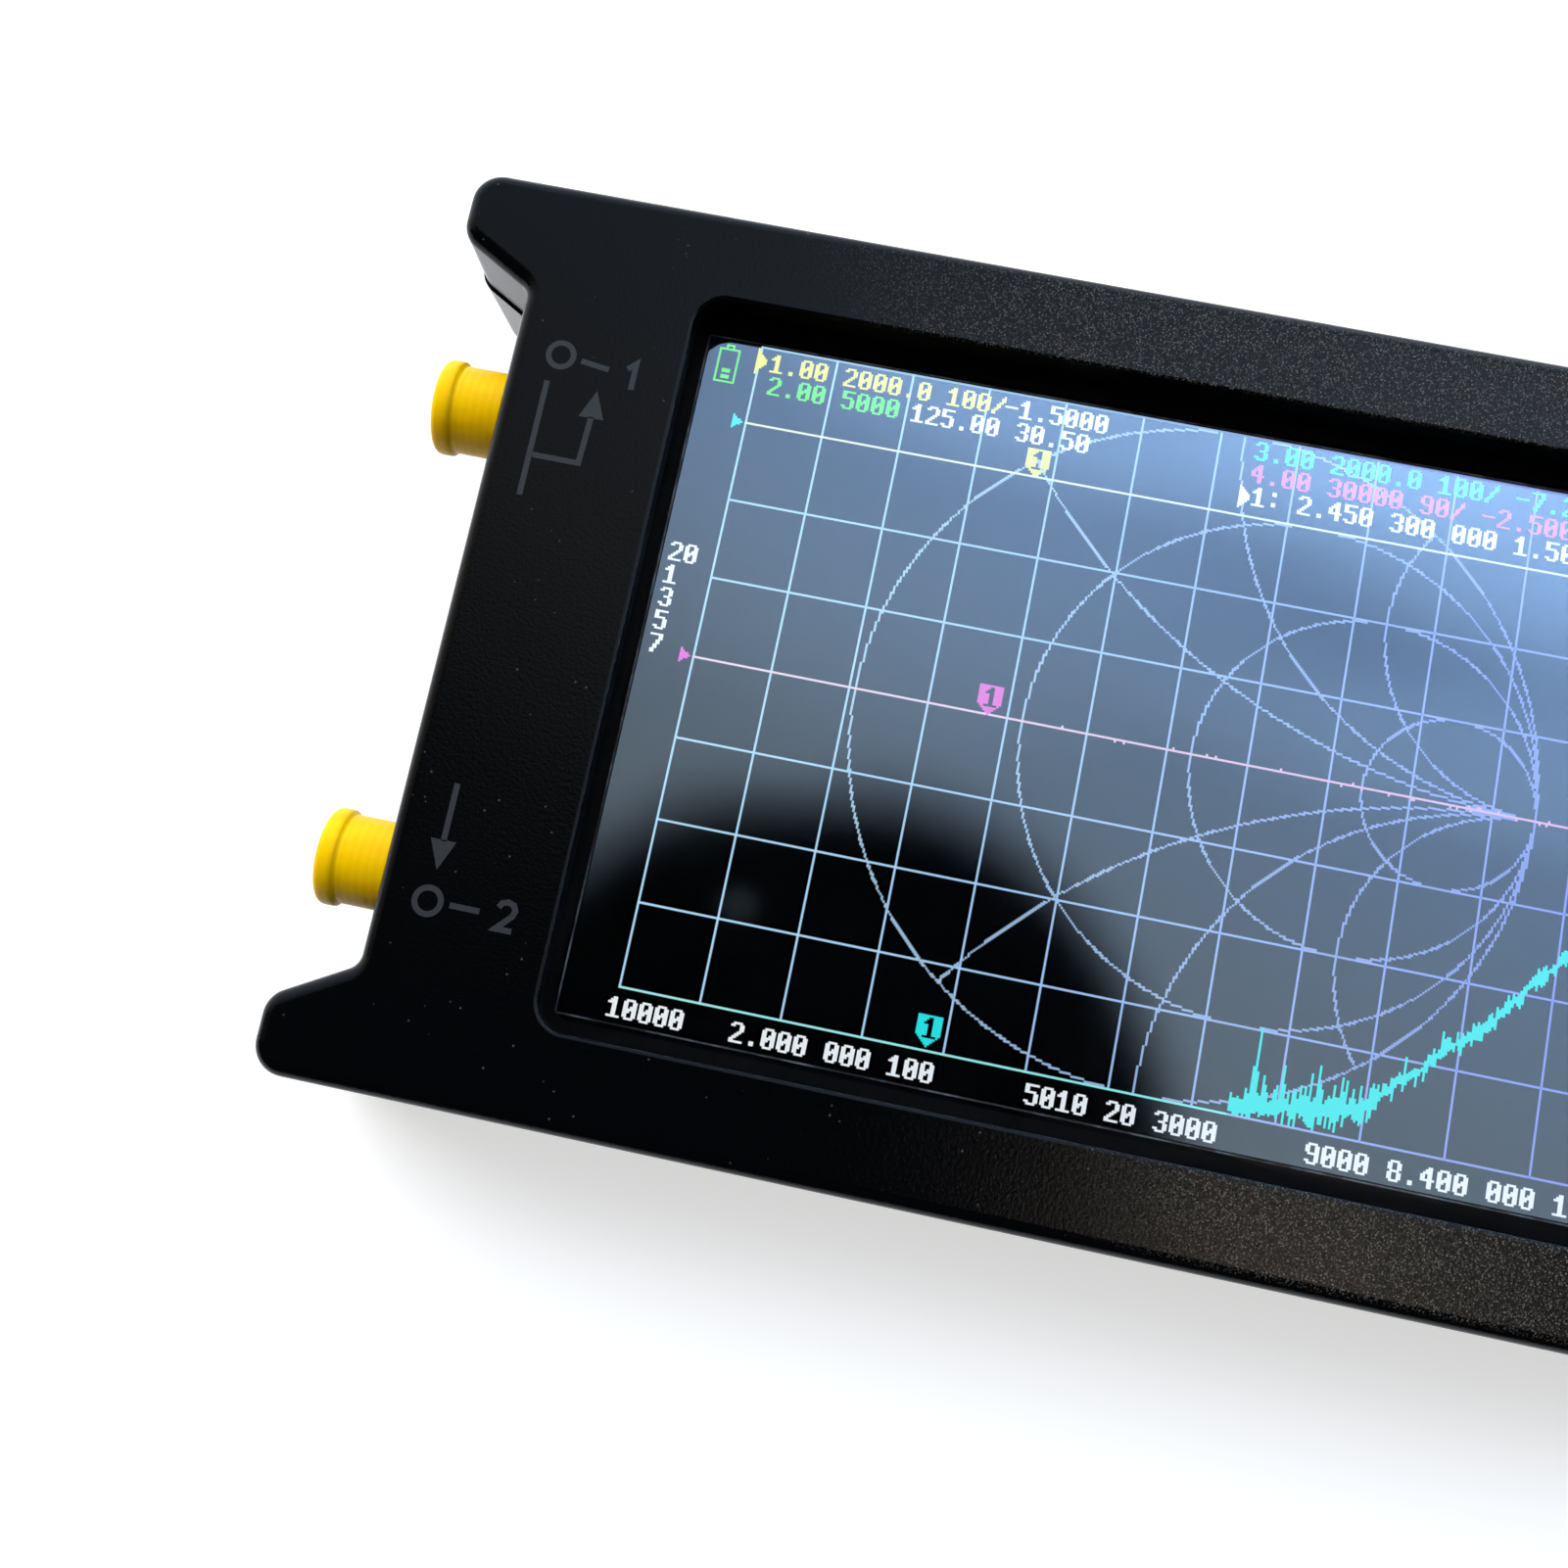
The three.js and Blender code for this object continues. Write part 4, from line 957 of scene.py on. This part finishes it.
layers = [
    ("lit_chart", chart, (0.38, 0.58, 0.7), (0.15, 0.18, 0.58)),
    ("lit_white", white_dots, (0.8, 0.84, 0.86), (0.72, 0.78, 0.86)),
    ("lit_yellow", yellow_dots, (0.8, 0.76, 0.02), (0.5, 0.5, 0.2)),
    ("lit_flat", {(x, flat_row) for x in range(grid_width)}, (0.72, 0.78, 0.55), (0.6, 0.7, 0.62)),
    ("lit_phase", phase, (0.72, 0.6, 0.68), (0.62, 0.3, 0.5)),
    ("lit_baseline", baseline, (0.35, 0.75, 0.78), (0.1, 0.75, 0.7)),
    ("lit_green", green_dots, (0.12, 0.72, 0.02)),
    ("lit_cyan", cyan_dots | sweep | marker(131, 289), (0.03, 0.72, 0.75), (0.0, 0.68, 0.66)),
    ("lit_magenta", magenta_dots | marker(130, 139), (0.7, 0.12, 0.6), (0.55, 0.1, 0.38)),
]
taken = set()
for name, dots, *colours in reversed(layers):
    seen_dots = {
        (x, y)
        for x, y in dots - taken
        if picture_columns[0] <= x <= picture_columns[1] and picture_rows[0] <= y <= picture_rows[1]
    }
    taken |= seen_dots
    place_piece(lay_dots(name, seen_dots), lit(name, *colours))

smear_scale = 35.0
film, place = patterned("display_film")
smear = noise(place, smear_scale, 4.0)
film_colour = blend(smear, (0.0, 0.0, 0.0), (0.002, 0.0024, 0.003))
finish_material(film, Base_Color=film_colour, **film_light)
film_x, film_y = block_spans(picture_columns, picture_rows)
active_film = box(film_x, film_y, (film_level, film_level + film_thick), "display_film")
place_piece(active_film, film)

# Thin broken lines just outside the film mark the edge of the panel's glass. Their pale grey is a
# painted glint of light on that edge.
edge_gap, edge_width, edge_span = 0.1, 0.13, (film_level, film_level + 0.04)
x_span, y_span = [(low - edge_gap, high + edge_gap) for low, high in (film_x, film_y)]
edges = [
    box((x_span[0] - edge_width, x_span[0]), y_span, edge_span, "glass_edge_glint"),
    box((x_span[1], x_span[1] + edge_width), y_span, edge_span),
    box(x_span, (y_span[0] - edge_width, y_span[0]), edge_span),
    box(x_span, (y_span[1], y_span[1] + edge_width), edge_span),
]


def join_pieces(pieces):
    first = pieces[0]
    with bpy.context.temp_override(
        active_object=first, selected_editable_objects=pieces, object=first
    ):
        bpy.ops.object.join()
    return first


# The pale grey of these lines is a painted glint along the glass edge, broken by noise.
painted_edge_glint, place = patterned("painted_edge_glint")
broken = soft_step(noise(place, 260.0, 4.0, 0.7), 0.42, 0.68)
edge_glint_colour = blend(broken, (0.004, 0.005, 0.007), (0.13, 0.145, 0.16))
finish_material(painted_edge_glint, Base_Color=edge_glint_colour, Roughness=0.4)
place_piece(join_pieces(edges), painted_edge_glint)

lit_grid = lit("lit_grid", (0.4, 0.66, 0.85), (0.17, 0.2, 0.68))
grid_sink, grid_thick = 0.01, 0.004
grid_start = (picture_left - dot / 2, picture_top - dot / 2, picture_level - grid_sink)
grid_row_step = -grid_height / grid_rows * dot
line = box((0, dot), (-grid_height * dot, dot), around(0, grid_thick), "grid_columns")
place_row(line, grid_columns, grid_start, (grid_step * dot, 0.0, 0.0), lit_grid)
line = box((0, grid_width * dot), (0, dot), around(0, grid_thick), "grid_rows")
place_row(line, grid_rows + 1, grid_start, (0.0, grid_row_step, 0.0), lit_grid)

# Touch panel and its foam ring. A clear, glossy pane with a black border printed round its
# window, pressed against the face by the foam.
touch_glass, place = patterned("touch_glass")
smear = noise(place, smear_scale, 4.0)
clear = blend(smear, (0.97, 0.985, 1.0), (0.99, 1.0, 1.0))
finish_material(touch_glass, Base_Color=clear, Roughness=0.0, IOR=1.0, Transmission_Weight=1.0)
dress(touch_glass, "touch_panel")
dress(foam, "display_gasket")
border_size, border_window, border_reach = (95.9, 62.3), (84.6, 56.8), (87.0, 59.8)
border_low, border_shelf, border_high = 15.92, 15.98, 16.95
border_round, window_round = 0.5, 1.2
border_ring = outline(rectangle(*border_size, border_round))
border = prism(border_ring, (border_low, border_high), "touch_border")
cuts = [
    prism(outline(rectangle(*size, window_round)), (low, border_high + beyond))
    for size, low in ((border_window, border_low - beyond), (border_reach, border_shelf))
]
combine(border, cuts, "DIFFERENCE")
border_ink = plain_finish(
    "border_ink", (0.002, 0.002, 0.0024), 0.3, 300.0, Roughness=0.5, Specular_IOR_Level=0.05
)
place_piece(border, border_ink)

# Front shell. The upper half of the case: the face with a deep, square-edged opening for the
# display, soft outer edges, bosses for the screws and ribs that locate the display.
case_depth, face_under = 20.0, 17.8
face_round, face_inset, front_inset = 1.2, 0.15, 0.2
groove_outside, groove_top = 1.0, seam_high + 1.3
opening_length, opening_width, opening_round, opening_edge = 85.8, 58.9, 2.4, 0.3
boss_radius, boss_low, boss_bore, boss_bore_ends = 2.9, 6.6, 1.2, (5.6, 13.1)
# Each rib has its size and its middle.
rib_low, rib_round = 13.8, 0.2
ribs = [
    ((70.08, 1.2), (0, 32.1)), ((1.2, 8.0), (48.9, 19.97)), ((70.08, 1.2), (0, -32.1)),
    ((1.2, 8.0), (48.9, -19.97)), ((1.2, 29.95), (-48.9, 0)),
]

front = loft(
    "front_case",
    case_corners,
    [(seam_high, front_inset + seam_edge), (seam_high + seam_edge, front_inset)]
    + [(case_depth - face_round, face_inset)]
    + round_edge(case_depth - face_round, 1, face_round, face_inset),
)
hollow = prism(case_inside, (seam_high - beyond, face_under))
groove = prism(outline(case_corners, groove_outside), (seam_high - beyond, groove_top))
flare = round_edge(case_depth - opening_edge, 1, opening_edge, 0)
opening = loft(
    "opening",
    rectangle(opening_length, opening_width, opening_round),
    [(face_under - beyond, 0)]
    + [(z, -inset) for z, inset in flare]
    + [(case_depth + beyond, -opening_edge)],
)
combine(front, [hollow, groove, opening], "DIFFERENCE")
added = posts(boss_radius, case_screw_spots, boss_low, face_under + beyond)
for size, middle in ribs:
    ring = outline(rectangle(*size, rib_round, middle))
    added.append(prism(ring, (rib_low, face_under + beyond)))
combine(front, added, "UNION")
bores = posts(boss_bore, case_screw_spots, *boss_bore_ends) + wall_cutters()
combine(front, bores, "DIFFERENCE")
smooth(front)
place_piece(front, case_black, stands_for=["front_shell"])

opening_dark, opening_light = (0.0004, 0.0004, 0.0005), (0.0008, 0.0008, 0.001)
opening_black = moulded_black("opening_black", opening_dark, opening_light, (0.5, 0.7), gloss=0.02)
front.data.materials.append(opening_black)
edge_reach, most_tilt = 0.1, 0.5
for face in front.data.polygons:
    x, y, z = face.center / mm
    inside = abs(x) < opening_length / 2 + edge_reach and abs(y) < opening_width / 2 + edge_reach
    if inside and z < case_depth - opening_edge and abs(face.normal.z) < most_tilt:
        face.material_index = 1

# Marks on the face. Thin grey print: a ring and a number for each port, and arrows that show
# which way the signal goes at each.
mark_low, mark_high, mark_width = 19.99, 20.012, 0.45
ring_radius, ring_sides = 1.0, 32


def band(points, closed=False):
    """A printed stroke along a line of points, as one closed plate with mitred turns."""
    count = len(points)
    plate_points, faces = [], []
    for i, (x, y) in enumerate(points):
        headings = []
        if closed or i:
            headings.append(math.atan2(y - points[i - 1][1], x - points[i - 1][0]))
        if closed or i + 1 < count:
            after = points[(i + 1) % count]
            headings.append(math.atan2(after[1] - y, after[0] - x))
        turned_by = math.remainder(headings[-1] - headings[0], 2 * math.pi)
        heading = headings[0] + turned_by / 2 + math.pi / 2
        reach = mark_width / 2 / math.cos(turned_by / 2)
        out_x, out_y = reach * math.cos(heading), reach * math.sin(heading)
        for sign in (1, -1):
            for z in (mark_low, mark_high):
                plate_points.append(((x + sign * out_x) * mm, (y + sign * out_y) * mm, z * mm))
    for i in range(count if closed else count - 1):
        a, b = 4 * i, 4 * ((i + 1) % count)
        faces += [(a, b, b + 1, a + 1), (a + 1, b + 1, b + 3, a + 3), (a + 3, b + 3, b + 2, a + 2)]
        faces.append((a, a + 2, b + 2, b))
    if not closed:
        end = 4 * (count - 1)
        faces += [(0, 1, 3, 2), (end, end + 2, end + 3, end + 1)]
    return closed_mesh("band", plate_points, faces)


def plate(points):
    return prism(points, (mark_low, mark_high))


def ring_mark(middle):
    return band(disc(ring_radius, middle, ring_sides), closed=True)


number_strokes = {
    "1": [(-0.55, 0.55), (0.05, 1.1), (0.05, -1.1)],
    "2": [
        (-0.65, 0.6), (-0.45, 0.95), (0.0, 1.1), (0.45, 0.95), (0.65, 0.55), (0.5, 0.1),
        (-0.55, -1.0), (0.7, -1.0),
    ],
}


def number_mark(sign, middle):
    return band([(middle[0] + x, middle[1] + y) for x, y in number_strokes[sign]])


marks = [
    ring_mark((-52.6, 22.3)),
    band([(-50.9, 22.1), (-48.6, 21.8)]),
    number_mark("1", (-46.6, 21.6)),
    band([(-53.2, 20.0), (-53.2, 10.4)]),
    band([(-53.0, 13.8), (-49.25, 13.8), (-49.1, 17.7)]),
    plate([(-50.1, 17.6), (-48.1, 17.6), (-49.1, 19.9)]),
    band([(-52.5, -12.8), (-52.5, -17.3)]),
    plate([(-53.5, -17.2), (-52.5, -19.5), (-51.5, -17.2)]),
    ring_mark((-52.6, -21.9)),
    band([(-50.9, -21.9), (-48.6, -21.9)]),
    number_mark("2", (-46.6, -21.9)),
]
printed = join_pieces(marks)
printed.name = "face_marks"
mark_grey, place = patterned("mark_grey")
wear = noise(place, 3600.0, 4.0, 0.7)
finish_material(
    mark_grey,
    Base_Color=blend(wear, (0.008, 0.0092, 0.01), (0.019, 0.0205, 0.0215)),
    Roughness=0.6,
    Normal=bump(wear, 0.00001),
)
place_piece(printed, mark_grey)

# Screws. Small black machine screws with a cross recess, four from the back into the front
# shell's bosses, and four bright ones that hold the board.
screw_black = plain_finish(
    "screw_black", (0.03, 0.03, 0.032), 0.2, 2500.0, Metallic=0.9, Roughness=0.36
)
# Height and radius at each step, from the face of the head up to the tip.
screw_steps = [(0.5, 1.6), (0.58333, 1.81), (0.75, 1.9), (1.9, 1.9), (1.9, 1.0), (12.9, 1.0)]
screw_sides = 32
cross_length, cross_width, cross_ends = 2.1, 0.5, (-0.5, 1.25)

screw = stack("case_screws", [(z, disc(size, (0, 0), screw_sides)) for z, size in screw_steps])
slots = [
    box(around(0, length), around(0, width), cross_ends)
    for length, width in ((cross_length, cross_width), (cross_width, cross_length))
]
combine(screw, slots, "DIFFERENCE")
smooth(screw, 35)


def corner_tree(tree, given):
    sizes = {"Size X": given["Length"], "Size Y": given["Width"], "Vertices X": 2, "Vertices Y": 2}
    grid = node(tree, "GeometryNodeMeshGrid", sizes)[0]
    moved = {"Geometry": grid, "Translation": given["Middle"]}
    moved = node(tree, "GeometryNodeTransform", moved)[0]
    copies = {"Points": moved, "Instance": given["Piece"]}
    return node(tree, "GeometryNodeInstanceOnPoints", copies)[0]


(left, high), (right, low) = case_screw_spots[0], case_screw_spots[-1]
spread = {"Length": (right - left) * mm, "Width": (high - low) * mm}
spread["Middle"] = ((left + right) / 2 * mm, 0.0, 0.0)
case_screws = grow("case_screws", screw, spread, corner_tree, screw_black)
place_piece(
    case_screws, screw_black, stands_for=["case_screw_%d" % k for k in range(1, 5)]
)
dress(nickel, *["board_screw_%d" % k for k in range(1, 5)])
